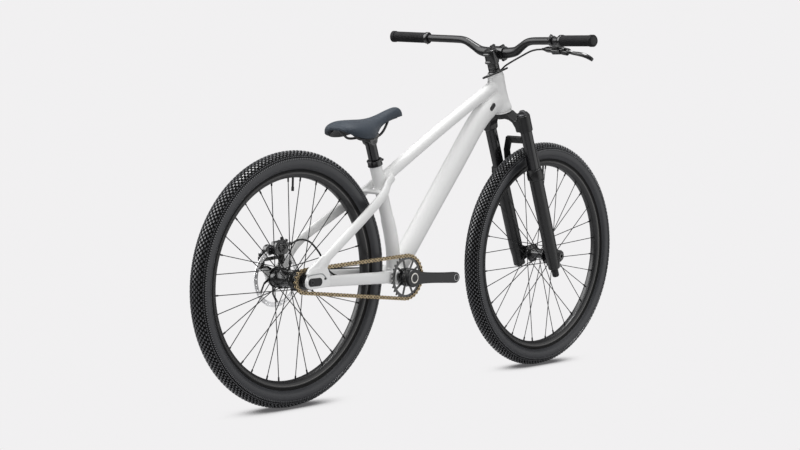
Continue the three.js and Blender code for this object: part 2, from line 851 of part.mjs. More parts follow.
// Rear cog on the sleeve that runs on the axle
function cogBody() {
  const right = -chainline - toothThickness / 2;
  const left = -chainline + toothThickness / 2;
  const toothed = toothedShape(cogTeeth);
  toothed.holes.push(ringHole(freehubRadius - toothThickness, cogTeeth));
  const cog = plateAcross(toothed, right, left);
  const end = -(dropoutInner - axleSpacerLength - gap);
  const start = -(rearFlangeRight + flangeThickness * 2 + gap);
  const body = turnedAcross(sleeve(rearAxleRadius + runningGap, freehubRadius, end, start), cogTeeth);
  return join(cog, body);
}

// The chain's loop at a distance from its pitch line, as two arcs and two straights
function chainLoop(offset) {
  const span = bracket.clone().sub(rearAxle);
  const rise = Math.atan2(span.z, span.x);
  const lean = Math.asin((ringPitchRadius - cogPitchRadius) / span.length());
  const loop = new THREE.Path();
  const top = rise + Math.PI / 2 + lean;
  const bottom = rise - Math.PI / 2 - lean;
  loop.absarc(bracket.x, bracket.z, ringPitchRadius + offset, bottom, top, false);
  loop.absarc(rearAxle.x, rearAxle.z, cogPitchRadius + offset, top, bottom + 2 * Math.PI, false);
  return loop;
}

// Chain: two rows of side plates, with pins on the straights; the teeth pass between the rows
function chainBody() {
  const half = chainPlateHeight / 2;
  const band = (near, far) => {
    const shape = new THREE.Shape(chainLoop(half).getPoints(chainArcSteps));
    shape.holes.push(new THREE.Path(chainLoop(-half).getPoints(chainArcSteps)));
    return plateAcross(shape, near, far);
  };
  const inner = chainInnerWidth / 2;
  const outer = inner + chainPlateThickness;
  const rows = [band(-chainline - outer, -chainline - inner), band(-chainline + inner, -chainline + outer)];
  const span = bracket.clone().sub(rearAxle);
  const lean = Math.asin((ringPitchRadius - cogPitchRadius) / span.length());
  const straight = span.length() * Math.cos(lean);
  const tipRoom = Math.sqrt((ringPitchRadius + toothTipHeight + chainPinRadius * 2) ** 2 - ringPitchRadius ** 2);
  const pinCount = Math.floor((straight - 2 * tipRoom) / (chainPinSpacing * chainPitch));
  for (const side of [1, -1]) {
    const heading = Math.atan2(span.z, span.x) + side * lean;
    const outwards = at(-Math.sin(heading) * side, 0, Math.cos(heading) * side);
    const start = rearAxle.clone().addScaledVector(outwards, cogPitchRadius);
    const run = at(Math.cos(heading), 0, Math.sin(heading));
    for (let pin = 0; pin <= pinCount; pin++) {
      const along = between(tipRoom, straight - tipRoom, pin / pinCount);
      const middle = start.clone().addScaledVector(run, along);
      const reach = inner + chainPlateThickness / 2;
      rows.push(rod(middle.clone().setY(-chainline - reach), middle.clone().setY(reach - chainline), chainPinRadius, chainPinSides));
    }
  }
  return join(...rows);
}

const crankDirection = at(Math.cos(rad(-crankDrop)), 0, Math.sin(rad(-crankDrop)));

// One crank arm; side is -1 on the chain side, where the arm points forward
function crankArm(side) {
  const along = (reach, face, thickness, wide) => ({
    at: crankDirection.clone().multiplyScalar(-side * reach).setY(side * (face - thickness / 2)),
    wide: thickness,
    deep: wide,
  });
  const stations = [
    along(0, crankOuterFace, crankRootThickness, crankRootWidth),
    along(crankBossRadius, crankOuterFace, crankRootThickness, crankRootWidth),
    along(crankLength * 0.45, between(crankOuterFace, pedalFace, 0.45), crankRootThickness, crankMidWidth),
    along(crankLength * 0.95, pedalFace, crankEndThickness, crankEndWidth),
    along(crankLength + crankEndWidth * 0.35, pedalFace, crankEndThickness, crankEndWidth * 0.7),
  ];
  const arm = solidTube(stations, 8, leftward);
  const inner = crankOuterFace - crankBossLength;
  const boss = turnedAcross(crankBossRows(side, inner), roundSides);
  const end = crankDirection.clone().multiplyScalar(-side * crankLength);
  const pedalBoss = rod(end.clone().setY(side * (pedalFace - crankEndThickness)), end.clone().setY(side * pedalFace), crankEndWidth / 2);
  const hole = rod(end.clone().setY(side * (pedalFace - crankEndThickness * 2)), end.clone().setY(side * (pedalFace + cutRun)), pedalHoleRadius);
  return cut(join(arm, boss, pedalBoss), hole);
}

function crankBossRows(side, inner) {
  const step = crankOuterFace - crankRootThickness;
  const rows = [[0, crankOuterFace], [crankBossRadius, crankOuterFace], [crankBossRadius, step],
    [crankNeckRadius, step - toothThickness], [crankNeckRadius, inner], [0, inner]];
  return rows.map(([radius, place]) => [radius, side * place]);
}

function crankRightBody() {
  const bore = rod(at(0, -crankOuterFace - cutRun, 0), at(0, 0, 0), spindleRadius + runningGap, 12);
  return cut(crankArm(-1), bore);
}

// Left crank with the spindle that carries both arms, ending in a ring outside the right arm
function crankLeftBody() {
  const ringBack = -crankOuterFace - gap;
  const spindle = turnedAcross([
    [0, ringBack - spindleRingHeight + cutRun], [spindleRadius - cutRun, ringBack - spindleRingHeight + cutRun],
    [spindleRadius - cutRun, ringBack - spindleRingHeight], [spindleRingRadius, ringBack - spindleRingHeight],
    [spindleRingRadius, ringBack], [spindleRadius, ringBack], [spindleRadius, crankOuterFace - gap],
    [0, crankOuterFace - gap],
  ], roundSides);
  return join(crankArm(1), spindle);
}

// Bottom bracket: two cups outside the shell, joined by a sleeve round the spindle
function bottomBracketBody() {
  const face = bracketShellWidth / 2 + gap;
  const insert = face - bracketCupLength;
  const bore = spindleRadius + runningGap;
  return turnedAcross([
    [bore, -face - bracketCupFlangeWidth], [bracketCupFlange, -face - bracketCupFlangeWidth],
    [bracketCupFlange, -face], [bracketCupRadius, -face], [bracketCupRadius, -insert],
    [bracketSleeveRadius, -insert], [bracketSleeveRadius, insert], [bracketCupRadius, insert],
    [bracketCupRadius, face], [bracketCupFlange, face], [bracketCupFlange, face + bracketCupFlangeWidth],
    [bore, face + bracketCupFlangeWidth],
  ], roundSides);
}

// The route of the brake hose, chosen by hand: lever, one turn round the steerer, frame, rear brake
const hosePoints = [
  at(304, -158.5, 971), at(304, -150, 970.5), at(302.6, -140, 969.4), at(300.5, -120, 964), at(296, -88, 948),
  at(296, -52, 933), at(299, -26, 922.5), at(312, -4, 919.5), at(317.4, 12.3, 916), at(305.8, 29.5, 909.4),
  at(287.4, 36, 899.6), at(266.4, 27.6, 889.9), at(255.1, 9.3, 886.7), at(255.3, -12.3, 888.9),
  at(269.7, -31.2, 895.5), at(289.5, -35.9, 903.1), at(308.1, -27.6, 910.3), at(319.7, -9.3, 912.6),
  at(319.9, 12.3, 909.4), at(306.2, 31.2, 900.9), at(288.5, 38.5, 887.7), at(281, 40, 868.8), at(277, 37, 842),
  at(267, 27, 811), at(252, 14, 786), at(222, 8, 756), at(150, 7, 676), at(60, 7, 564), at(-20, 7, 464),
  at(-72, 9, 398), at(-104, 11.5, 360), at(-119.6, 13.5, 340), at(-132, 16, 345.4), at(-145.2, 18.2, 340.8),
  at(-151.5, 19.6, 331), at(-159, 21.4, 326.6), at(-178, 28, 328), at(-200, 35.5, 329.5), at(-230, 43, 331),
  at(-285, 48.5, 333.5), at(-312, 51, 341), at(-332, 53, 352), at(-347, 52, 366), at(-368, 50, 387),
  at(-386, 48.5, 406), at(-414, 47.5, 430), at(-440, 47.5, 440), at(-462, 48, 441), at(-478, 49, 436),
  at(-489, 50, 429),
];

const hoseBody = () => cordByPoints(hosePoints, hoseRadius);
const hoseChannel = (first, last) => cordByPoints(hosePoints.slice(first, last), hoseRadius + hoseChannelGap);

// A cord whose rings are spread evenly between its points, so that tight bends get more of them
function cordByPoints(points, radius) {
  const curve = new THREE.CatmullRomCurve3(points, false, 'centripetal');
  curve.getPointAt = (share, target) => curve.getPoint(share, target);
  curve.getTangentAt = (share, target) => curve.getTangent(share, target);
  return solid(new THREE.ExtrudeGeometry(roundSection(radius, hoseSides),
    { steps: hoseStepsEach * (points.length - 1), extrudePath: curve, bevelEnabled: false }));
}

// Where the down tube bends towards the head tube: part of the way there, and bowed up off the straight line
function downTubeBend() {
  const run = besideHead(0, 0, downTubeHeadRise).sub(bracket);
  const across = at(-run.z, 0, run.x).normalize();
  return bracket.clone().addScaledVector(run, downTubeBendShare).addScaledVector(across, downTubeBow);
}

// Centre lines of the frame's tubes
function downTubeStations() {
  const bend = downTubeBend();
  const head = besideHead(0, 0, downTubeHeadRise);
  const straight = (share) => bracket.clone().lerp(bend, share);
  const sizes = [
    [downTubeLowWidth, downTubeLowDepth], [downTubeWidth, downTubeLowDepth],
    [downTubeWidth, downTubeDepth], [downTubeWidth, downTubeDepth],
  ];
  const stations = downTubeShares.map((share, row) => ({ at: straight(share), wide: sizes[row][0], deep: sizes[row][1] }));
  stations.push({ at: bend.clone().lerp(head, 0.5).setZ(between(bend.z, head.z, 0.62)), wide: downTubeWidth, deep: downTubeDepth });
  stations.push({ at: head, wide: downTubeHeadWidth, deep: downTubeHeadDepth });
  return stations;
}

function topTubeStations() {
  const rear = seatTop.clone().addScaledVector(seatUp, -topTubeSeatDrop);
  const head = besideHead(0, 0, headTubeLength - topTubeHeadDrop);
  const middle = rear.clone().lerp(head, 0.5).add(at(0, 0, topTubeArch));
  return [rear, middle, head].map((place) => ({ at: place, wide: topTubeWidth, deep: topTubeDepth }));
}

function seatTubeStations() {
  const foot = at(bracket.x, 0, bracket.z);
  const low = at(bracket.x - seatTubeFootBack, 0, bracket.z + seatTubeFootRise);
  const shin = low.clone().lerp(seatKnee, 0.55).add(at(seatTubeFootBack, 0, 0));
  const above = seatKnee.clone().lerp(seatTop, 0.14);
  const round = (place, radius) => ({ at: place, wide: 2 * radius, deep: 2 * radius });
  return [
    round(foot, seatTubeLowRadius), round(low, seatTubeLowRadius), round(shin, seatTubeLowRadius),
    round(seatKnee, seatTubeLowRadius), round(above, seatTubeRadius), round(seatTop, seatTubeRadius),
  ];
}

const chainstayPlace = (share, spread) => bracket.clone().lerp(rearAxle, share).setY(spread);

function chainstayStations(side) {
  const depth = (share) => between(chainstayRootDepth, chainstayEndDepth, share);
  const row = (share, spread, wide) => ({ at: chainstayPlace(share, side * spread), wide, deep: depth(share) });
  return [
    row(chainstayStart / chainstayLength, chainstayRootSpread, chainstayRootWidth),
    row(chainstayMidShare, chainstayMidSpread, chainstayMidWidth),
    row(chainstayRearShare, chainstayRearSpread, chainstayMidWidth),
    row(chainstayEndShare, chainstayEndSpread, chainstayEndWidth),
  ];
}

// A seatstay's line from the top tube down to the axle; the left one passes below the brake
function seatstayStations(side) {
  return seatstayForwardShares.map((forwardShare, row) => {
    const forward = chainstayLength * forwardShare;
    const spread = side * seatstayEndSpread * seatstaySpreadShares[row];
    const dip = side > 0 && row === seatstayDipRow ? seatstayBrakeDip : 0;
    return {
      at: rearAxle.clone().add(at(forward, spread, seatstayRise * seatstayRiseShares[row] - dip)),
      wide: seatstayWidth * seatstayWidthShares[row],
      deep: seatstayDepth * seatstayDepthShares[row],
    };
  });
}

const bracketEnvelope = (extra) => {
  const half = bracketShellWidth;
  return rod(bracket.clone().setY(-half), bracket.clone().setY(half), bracketShellRadius + extra, roundSides);
};

const headEnvelope = (extra) => rod(
  besideHead(0, 0, -cutRun), besideHead(0, 0, headTubeLength + cutRun), headTubeLowRadius + extra, 16, headTubeTopRadius + extra);

const widened = (stations, extra) => stations.map((station) => (
  { at: station.at, wide: station.wide + 2 * extra, deep: station.deep + 2 * extra }));

function headTubeBody() {
  const bore = headCupRadius + runningGap;
  return turnedUpright([
    [bore, 0], [headTubeLowRadius, 0], [headTubeLowRadius, cupInsertLength],
    [headTubeWaistRadius, headTubeLength / 2], [headTubeTopRadius, headTubeLength - cupInsertLength],
    [headTubeTopRadius, headTubeLength], [bore, headTubeLength],
  ], 16);
}

function topTubeBody() {
  const tube = hollowTube(topTubeStations(), frameWall, mainTubeSides);
  const seat = solidTube(widened(seatTubeStations(), gap), seatTubeSides);
  return cut(tube, seat, headEnvelope(weldGap), headFront());
}

// Everything ahead of the head tube's axis, cut away from the tubes that end on it
function headFront() {
  const size = headTubeLength * 2;
  const centre = besideHead(size / 2, 0, headTubeLength / 2);
  const geometry = new THREE.BoxGeometry(size, size, size).rotateY(-headTilt);
  return solid(geometry.translate(centre.x, centre.y, centre.z));
}

function downTubeBody() {
  const tube = hollowTube(downTubeStations(), frameWall, mainTubeSides);
  const top = solidTube(widened(topTubeStations(), gap), mainTubeSides);
  return cut(tube, bracketEnvelope(gap), headEnvelope(weldGap), headFront(), top, behindBracket(), hoseChannel(22, 26), portHole());
}

// The space behind and below the bottom bracket's axis, square to the down tube
function behindBracket() {
  const size = bracketShellWidth * 2;
  const run = downTubeBend().sub(bracket);
  const lean = Math.atan2(run.z, run.x);
  const geometry = new THREE.BoxGeometry(size, size, size).rotateY(-lean);
  const centre = bracket.clone().add(at(-Math.cos(lean), 0, -Math.sin(lean)).multiplyScalar(size / 2));
  return solid(geometry.translate(centre.x, centre.y, centre.z));
}

// The right port's place on the down tube, and the shape that its plug fills
const portCentre = () => besideHead(0, 0, downTubeHeadRise).add(at(-portPlugBack, 0, -portPlugRise));

function portPrism(right, left, extra) {
  const centre = portCentre();
  const lean = rad(portPlugLean);
  const long = portPlugLength / 2 + extra;
  const short = portPlugWidth / 2 + extra;
  const points = [];
  for (let corner = 0; corner < 10; corner++) {
    const angle = (corner / 10) * 2 * Math.PI;
    const [a, b] = [long * Math.cos(angle), short * Math.sin(angle)];
    points.push([centre.x + a * Math.cos(lean) - b * Math.sin(lean), centre.z + a * Math.sin(lean) + b * Math.cos(lean)]);
  }
  return plateAcross(outline(points), right, left);
}

const portHole = () => portPrism(-downTubeWidth, 0, 0);

function portPlugBody() {
  const face = -downTubeWidth / 2 - portPlugProud;
  return portPrism(face, -downTubeWidth / 2 + frameWall * 2, -gap);
}

function seatTubeBody() {
  const tube = hollowTube(seatTubeStations(), seatTubeWall, seatTubeSides);
  const down = solidTube(widened(downTubeStations(), gap), mainTubeSides);
  const postFoot = seatTop.clone().addScaledVector(seatUp, -seatpostInserted - seatpostDrop - cutRun);
  const postRoom = rod(postFoot, seatTop.clone().addScaledVector(seatUp, cutRun), seatpostRadius + weldGap, roundSides);
  return cut(tube, bracketEnvelope(gap), down, belowBracket(), postRoom);
}

function belowBracket() {
  const size = bracketShellWidth;
  return block(size, size, size, bracket.clone().add(at(0, 0, bracketShellRadius * 0.8 - size / 2)));
}

function bracketShellBody() {
  const half = bracketShellWidth / 2;
  const inner = bracketShellRadius - bracketShellWall;
  return turnedAcross(sleeve(inner, bracketShellRadius, -half, half), roundSides);
}

// The bracket shell is built about its own axis, so the hose's windows are cut in that frame
function bracketShellCut() {
  const moved = hosePoints.slice(29, 38).map((point) => point.clone().sub(bracket));
  return cut(bracketShellBody(), cordByPoints(moved, hoseRadius + hoseChannelGap));
}

// Flat end of the stays round the axle, with a long tail that the stays meet; the left one carries the brake
function dropoutShape(side) {
  const shape = new THREE.Shape();
  const tail = rearAxle.x + dropoutTail;
  shape.moveTo(tail, rearAxle.z - dropoutTailDepth);
  shape.lineTo(tail, rearAxle.z + dropoutTailDepth);
  if (side > 0) {
    const reach = brakeBoltSpacing / 2 + brakePostRadius;
    const web = rearAxle.z + postWebRise;
    shape.lineTo(rearAxle.x + reach, web);
    shape.lineTo(rearAxle.x + reach - brakePostRadius * 2, web);
    shape.lineTo(rearAxle.x, rearAxle.z + dropoutRadius);
    shape.lineTo(rearAxle.x - reach + brakePostRadius * 2, web);
    shape.lineTo(rearAxle.x - reach, web);
    shape.lineTo(rearAxle.x - dropoutRadius, rearAxle.z);
    shape.absarc(rearAxle.x, rearAxle.z, dropoutRadius, Math.PI, Math.PI * 1.5, false);
    return shape;
  }
  for (const [forward, rise] of dropoutFlareShares) {
    shape.lineTo(rearAxle.x + dropoutRadius * forward, rearAxle.z + dropoutRadius * rise);
  }
  shape.absarc(rearAxle.x, rearAxle.z, dropoutRadius, Math.PI * 0.76, Math.PI * 1.5, false);
  return shape;
}

function dropoutBody(side, extra) {
  const near = dropoutInner - extra;
  const far = dropoutOuter + extra;
  const [right, left] = side < 0 ? [-far, -near] : [near, far];
  return plateAcross(dropoutShape(side), right, left, 5);
}

// A chainstay with its dropout; the left one also has the brake's two posts
function chainstayBody(side) {
  const stay = hollowTube(chainstayStations(side), stayWall, staySides);
  const posts = side > 0 ? brakePosts(0) : [];
  const inner = rearAxle.clone().setY(side * (dropoutInner - cutRun));
  const axleHole = rod(inner, rearAxle.clone().setY(side * (dropoutOuter + cutRun)), rearAxleRadius + gap, 12);
  const seat = solidTube(widened(seatTubeStations(), gap), seatTubeSides);
  const down = solidTube(widened(downTubeStations(), gap), mainTubeSides);
  const body = cut(join(stay, dropoutBody(side, 0), ...posts), axleHole, bracketEnvelope(gap), seat, down);
  return side > 0 ? cut(body, hoseChannel(34, 44)) : cut(body, insertPrism(gap));
}

// A place on the line of the brake's bolts, in the rear axle's frame
const brakeMountPlace = (share) => {
  const lean = rad(caliperTilt);
  const reach = (share - 0.5) * brakeBoltSpacing;
  return at(reach * Math.cos(lean), brakeMountOffset, rotorRadius - caliperDrop + reach * Math.sin(lean));
};

function brakePosts(extra) {
  return [0, 1].map((share) => {
    const top = rearAxle.clone().add(brakeMountPlace(share));
    const foot = top.clone().add(at(0, 0, -brakePostHeight - brakePostRadius * 2));
    return rod(foot, top, brakePostRadius + extra, 10);
  });
}

// The oval insert in the right dropout, round the end of the axle
function insertPrism(extra) {
  const centre = at(rearAxle.x + insertForward, 0, rearAxle.z);
  const points = [];
  for (let corner = 0; corner < roundSides; corner++) {
    const angle = (corner / roundSides) * 2 * Math.PI;
    const bulge = insertWidth / 2 + extra;
    points.push([centre.x + bulge * Math.cos(angle), centre.z + (insertHeight / 2 + extra) * Math.sin(angle)]);
  }
  return plateAcross(outline(points), -dropoutOuter - insertFlange, -dropoutOuter + insertDepth + extra);
}

function seatstayBody(side) {
  const stay = hollowTube(seatstayStations(side), stayWall, staySides);
  const seat = solidTube(widened(seatTubeStations(), gap), seatTubeSides);
  const top = solidTube(widened(topTubeStations(), gap), mainTubeSides);
  const lower = solidTube(widened(chainstayStations(side), gap), staySides);
  const posts = side > 0 ? brakePosts(cutRun) : [];
  return cut(stay, seat, top, dropoutBody(side, gap), lower, axleRoom(side), ...posts);
}

// The room round the axle's end that the seatstay stays clear of
function axleRoom(side) {
  const inner = dropoutInner - dropoutThickness;
  return rod(rearAxle.clone().setY(side * inner), rearAxle.clone().setY(side * (dropoutOuter + cutRun)), dropoutRadius + gap, roundSides);
}

// Bridge between the seatstays, ahead of the tyre
function bridgeBody() {
  const place = seatTop.clone().addScaledVector(seatUp, -bridgeDrop).add(at(-bridgeBack, 0, 0));
  const half = bridgeReach;
  const stations = [-1, -0.5, 0.5, 1].map((share) => ({
    at: place.clone().setY(share * half).add(at(0, 0, Math.abs(share) > 0.6 ? -bridgeDepth / 4 : 0)),
    wide: bridgeLength,
    deep: bridgeDepth,
  }));
  const body = solidTube(stations, 8, at(1, 0, 0));
  const stays = [-1, 1].map((side) => solidTube(widened(seatstayStations(side), gap), staySides));
  const seat = solidTube(widened(seatTubeStations(), gap), seatTubeSides);
  return cut(body, ...stays, seat);
}

// Seat collar: a split ring with a bolted lug behind it
function collarBody() {
  const inner = seatTubeRadius + weldGap;
  const outer = inner + collarThickness;
  const ring = turnedUpright([
    [inner, -collarHeight], [outer, -collarHeight], [outer, collarLip], [seatpostRadius + gap, collarLip],
    [seatpostRadius + gap, gap], [inner, gap],
  ], collarSides);
  const middle = (collarLip - collarHeight) / 2;
  const lug = block(collarLugLength, collarLugWidth, collarHeight, at(outer + collarLugLength / 4, 0, middle));
  const bore = rod(at(0, 0, -collarHeight * 2), at(0, 0, collarHeight), inner + collarThickness / 2, collarSides);
  const slot = block(collarLugLength * 4, collarSlot, collarHeight * 3, at(inner + collarLugLength * 2, 0, 0));
  return cut(join(ring, cut(lug, bore)), slot);
}

function seatpostBody() {
  const inner = seatpostRadius - seatpostWall;
  const tube = turnedUpright([
    [inner, -seatpostInserted], [seatpostRadius, -seatpostInserted], [seatpostRadius, seatpostExposed - seatpostHeadHeight],
    [seatpostHeadRadius, seatpostExposed - seatpostHeadHeight / 2], [seatpostHeadRadius, seatpostExposed],
    [inner, seatpostExposed],
  ], roundSides);
  return tube;
}

// The saddle is built level, nose along +X from its tail, then tilted by its group
function saddleRings(inset, dropInset) {
  return saddleStations.map((share, row) => {
    const wide = (saddleWidth * saddleWidthShares[row]) / 2 - inset;
    const crown = saddleCrownHeight * saddleCrownShares[row] - inset;
    const skirt = saddleCrownHeight * saddleSkirtShares[row] + dropInset;
    const place = between(inset, saddleLength - inset, share);
    const ring = [];
    const half = saddleSides / 2;
    for (let side = 0; side <= half; side++) {
      const angle = (side / half) * Math.PI;
      const lift = Math.sin(angle) ** 0.72;
      ring.push(at(place, wide * Math.cos(angle), skirt + (crown - skirt) * lift));
    }
    for (let side = 1; side < half; side++) {
      const angle = Math.PI + (side / half) * Math.PI;
      const fold = Math.sin(angle) ** 2;
      const under = skirt + Math.max(crown - skirt - coverThickness, 0) * fold;
      const pinch = 1 - (coverThickness * Math.abs(Math.sin(angle))) / (saddleWidth * 2);
      ring.push(at(place, wide * pinch * Math.cos(angle), under));
    }
    return ring;
  });
}

const saddleCoverBody = () => skin(saddleRings(0, 0), false);

// The moulded base under the cover: a thin shell that the rails plug into
function saddleBaseBody() {
  const rings = saddleStations.slice(2, -1).map((share, row) => {
    const stationRow = row + 2;
    const wide = (saddleWidth * saddleWidthShares[stationRow]) / 2 - coverThickness;
    const crown = saddleCrownHeight * saddleCrownShares[stationRow] - coverThickness - gap;
    const skirt = saddleCrownHeight * saddleSkirtShares[stationRow];
    const height = Math.max(crown - skirt, 0);
    const place = share * saddleLength;
    const top = [];
    const low = [];
    for (let side = 0; side <= saddleBaseSides; side++) {
      const angle = (side / saddleBaseSides) * Math.PI;
      const fold = Math.sin(angle) ** 2;
      const across = wide * 0.86 * Math.cos(angle);
      top.push(at(place, across, skirt + height * fold - gap));
      low.push(at(place, across, skirt + height * fold - gap - saddleShell));
    }
    return [...top, ...low.reverse()];
  });
  return cut(skin(rings, false), cordAlong(railPoints(), railRadius + weldGap, railSides, railSteps));
}

// One bent steel wire: two rails that meet under the nose
function railPoints() {
  const half = railSpacing / 2;
  const nose = railNoseSpacing / 2;
  const start = railRear;
  const flatStart = start + (railLength - railFlat) / 3;
  const flatEnd = flatStart + railFlat;
  const end = start + railLength;
  const flat = -railDrop;
  const side = [
    at(start, half, flat + railRearRise), at(between(start, flatStart, 0.6), half, flat + railRearRise / 5),
    at(flatStart, half, flat), at((flatStart + flatEnd) / 2, half, flat), at(flatEnd, half, flat),
    at(between(flatEnd, end, 0.5), between(half, nose, 0.5), flat + railNoseRise / 3),
    at(end - nose, nose, flat + railNoseRise * 0.95),
  ];
  const other = side.map((point) => at(point.x, -point.y, point.z)).reverse();
  const tip = at(end, 0, flat + railNoseRise);
  return [...side, tip, ...other];
}

const railsBody = () => cordAlong(railPoints(), railRadius, railSides, railSteps);

// Clamp on the seatpost's head, with a way through for each of the two rails
function clampBody() {
  const body = block(clampLength, clampWidth, clampHeight, at(0, 0, saddleRise - railDrop));
  const rails = cordAlong(railPoints(), railRadius + gap, railSides, railSteps).translate([-saddleBack, 0, saddleRise]);
  const lean = seatTilt - rad(saddleTilt);
  const down = at(Math.sin(lean), 0, -Math.cos(lean));
  const head = rod(down.clone().multiplyScalar(seatpostHeadHeight), down.clone().multiplyScalar(-gap), seatpostHeadRadius + weldGap, roundSides);
  return cut(body, rails, head);
}

function steererProfile() {
  const top = headTubeLength + upperCupHeight + coneHeight + spacerStack + stemHeight;
  return sleeve(steererRadius - steererWall, steererRadius, -crownBossHeight, top - gap);
}

// Crown, shoulders and steerer as one piece, in the steering frame
function crownBody() {
  const inner = legSpread - crownSocketRadius;
  const right = crownArchShares.map(([share, dropShare]) => [inner * share, -crownDrop * dropShare]);
  const left = right.map(([side, height]) => [-side, height]).reverse();
  const centre = crownOffset - crownDepth / 8;
  const arch = plateForward(outline([...right, ...left]), centre - crownDepth / 2, centre + crownDepth / 2);
  const boss = rod(at(0, 0, -crownBossHeight), at(0, 0, -crownTop), crownBossRadius, roundSides);
  const sockets = [-1, 1].map((side) => rod(at(crownOffset, side * legSpread, -crownBottom), at(crownOffset, side * legSpread, -crownShoulderDrop), crownSocketRadius, roundSides));
  const bores = [-1, 1].map((side) => rod(at(crownOffset, side * legSpread, -crownBottom - cutRun), at(crownOffset, side * legSpread, 0), stanchionRadius + runningGap, roundSides));
  const steerer = turnedUpright(steererProfile(), roundSides);
  const bore = rod(at(0, 0, -crownBottom - cutRun), at(0, 0, 0), steererRadius - steererWall, roundSides);
  return cut(join(cut(join(arch, boss, ...sockets), ...bores, bore), steerer), bore);
}

function stanchionBody() {
  const bottom = -stanchionTop - stanchionLength;
  return turnedUpright(sleeve(stanchionRadius - stanchionWall, stanchionRadius, bottom, -stanchionTop), roundSides);
}

// Cap and adjuster on top of a fork leg
function legCapBody() {
  const plug = stanchionRadius - stanchionWall - gap;
  const base = -stanchionTop + gap;
  return turnedUpright([
    [0, base - capHeight * 2], [plug, base - capHeight * 2], [plug, base], [capRadius + cutRun, base],
    [capRadius, base + capHeight], [capKnobRadius, base + capHeight], [capKnobRadius, base + capHeight + capKnobHeight],
    [0, base + capHeight + capKnobHeight],
  ], roundSides);
}

// One lower leg with its seal head and axle lug, before the bore is cut
function lowerLeg(side) {
  const leg = turnedUpright([
    [0, -lowerBottom], [lowerFootRadius, -lowerBottom], [lowerFootRadius, -forkLength],
    [lowerTaperRadius, -lowerBoreEnd], [lowerRadius, -sealTop - sealHeight - lowerCollarHeight],
    [collarRadius, -sealTop - sealHeight - lowerCollarHeight], [collarRadius, -sealTop - sealHeight],
    [sealRadius, -sealTop - sealHeight], [sealRadius, -sealTop], [0, -sealTop],
  ], roundSides).translate([crownOffset, side * legSpread, 0]);
  const inner = frontHubWidth / 2 + gap;
  const [right, left] = side < 0 ? [-lugOuter, -inner] : [inner, lugOuter];
  const shape = outline([
    [crownOffset - lowerFootRadius * 0.7, -forkLength - lugRadius], [forkOffset, -forkLength - lugRadius],
    [forkOffset + lugRadius, -forkLength - lugRadius / 3], [forkOffset + lugRadius, -forkLength + lugRadius / 2],
    [forkOffset + lugRadius / 2, -forkLength + lugRadius], [crownOffset, -forkLength + lugRadius * 2.4],
  ]);
  return join(leg, plateAcross(shape, right, left));
}

// The arch that ties the two lower legs together, ahead of the stanchions
function archBody() {
  const height = (length) => length - forkLength;
  const outer = [[archShoulderHalf, height(archShoulder)], [archTopHalf, height(archTopLength)]];
  const inner = [[archInnerHalf, height(archInnerLength)], [archInnerShoulderHalf, height(archShoulder - cutRun * 2)], [archFootHalf, -sealTop - sealHeight]];
  const mirrored = (rows) => rows.map(([side, place]) => [-side, place]).reverse();
  const foot = -sealTop - sealHeight - archFootHeight;
  const bow = plateForward(outline([
    [archHalf, foot], ...outer, ...mirrored(outer), [-archHalf, foot], [-archFootHalf, foot],
    ...mirrored(inner), ...inner, [archFootHalf, foot],
  ]), archBack, archFront);
  const feet = [-1, 1].map((side) => {
    const middle = side * (archHalf + archFootHalf) / 2;
    return block(archFront - archFootBack, archHalf - archFootHalf, archFootHeight,
      at((archFront + archFootBack) / 2, middle, foot + archFootHeight / 2));
  });
  return join(bow, ...feet);
}

function lowersBody() {
  const bores = [-1, 1].map((side) => {
    const bottom = -lowerBoreEnd;
    const bore = rod(at(crownOffset, side * legSpread, bottom), at(crownOffset, side * legSpread, -sealTop + cutRun), stanchionRadius + lowerBoreClearance, roundSides);
    const drain = rod(at(crownOffset, side * legSpread, -lowerBottom - cutRun), at(crownOffset, side * legSpread, bottom + cutRun), rodRadius + runningGap, 8);
    return bore.add(drain);
  });
  const axleHole = rod(at(forkOffset, -lugOuter - cutRun, -forkLength), at(forkOffset, lugOuter + cutRun, -forkLength), frontAxleRadius + gap, hubSegments);
  const hubHalf = frontHubWidth / 2 + gap;
  const hubRoom = rod(at(forkOffset, -hubHalf, -forkLength), at(forkOffset, hubHalf, -forkLength), lugRadius * 1.3, roundSides);
  return cut(join(lowerLeg(-1), lowerLeg(1), archBody()), ...bores, axleHole, hubRoom);
}

// The rod and piston that stand on the floor of a lower leg, inside the stanchion
function forkRodBody() {
  return turnedUpright([
    [0, -lowerBottom - gap], [rodRadius, -lowerBottom - gap], [rodRadius, -rodTop], [rodPistonRadius, -rodTop],
    [rodPistonRadius, -rodTop + rodPistonHeight], [0, -rodTop + rodPistonHeight],
  ], 8);
}

function reboundKnobBody() {
  const top = -lowerBottom - 2 * gap;
  return turnedUpright([
    [0, top - reboundKnobHeight], [reboundKnobRadius * 0.8, top - reboundKnobHeight],
    [reboundKnobRadius, top - reboundKnobHeight + gap * 5], [reboundKnobRadius, top], [0, top],
  ], 10);
}

// A headset cup: an insert in the head tube and a flange outside it; end is 0 below and 1 above
function cupBody(end) {
  const bore = steererRadius + runningGap;
  const face = end ? headTubeLength + gap : -gap;
  const flange = end ? headTubeLength + upperCupHeight : gap * 2 - lowerCupHeight;
  const insert = end ? headTubeLength - cupInsertLength : cupInsertLength;
  const flangeRadiusHere = end ? headTubeTopRadius : headTubeLowRadius - gap;
  return turnedUpright([
    [bore, insert], [headCupRadius, insert], [headCupRadius, face], [flangeRadiusHere, face],
    [flangeRadiusHere, flange], [bore, flange],
  ], roundSides);
}

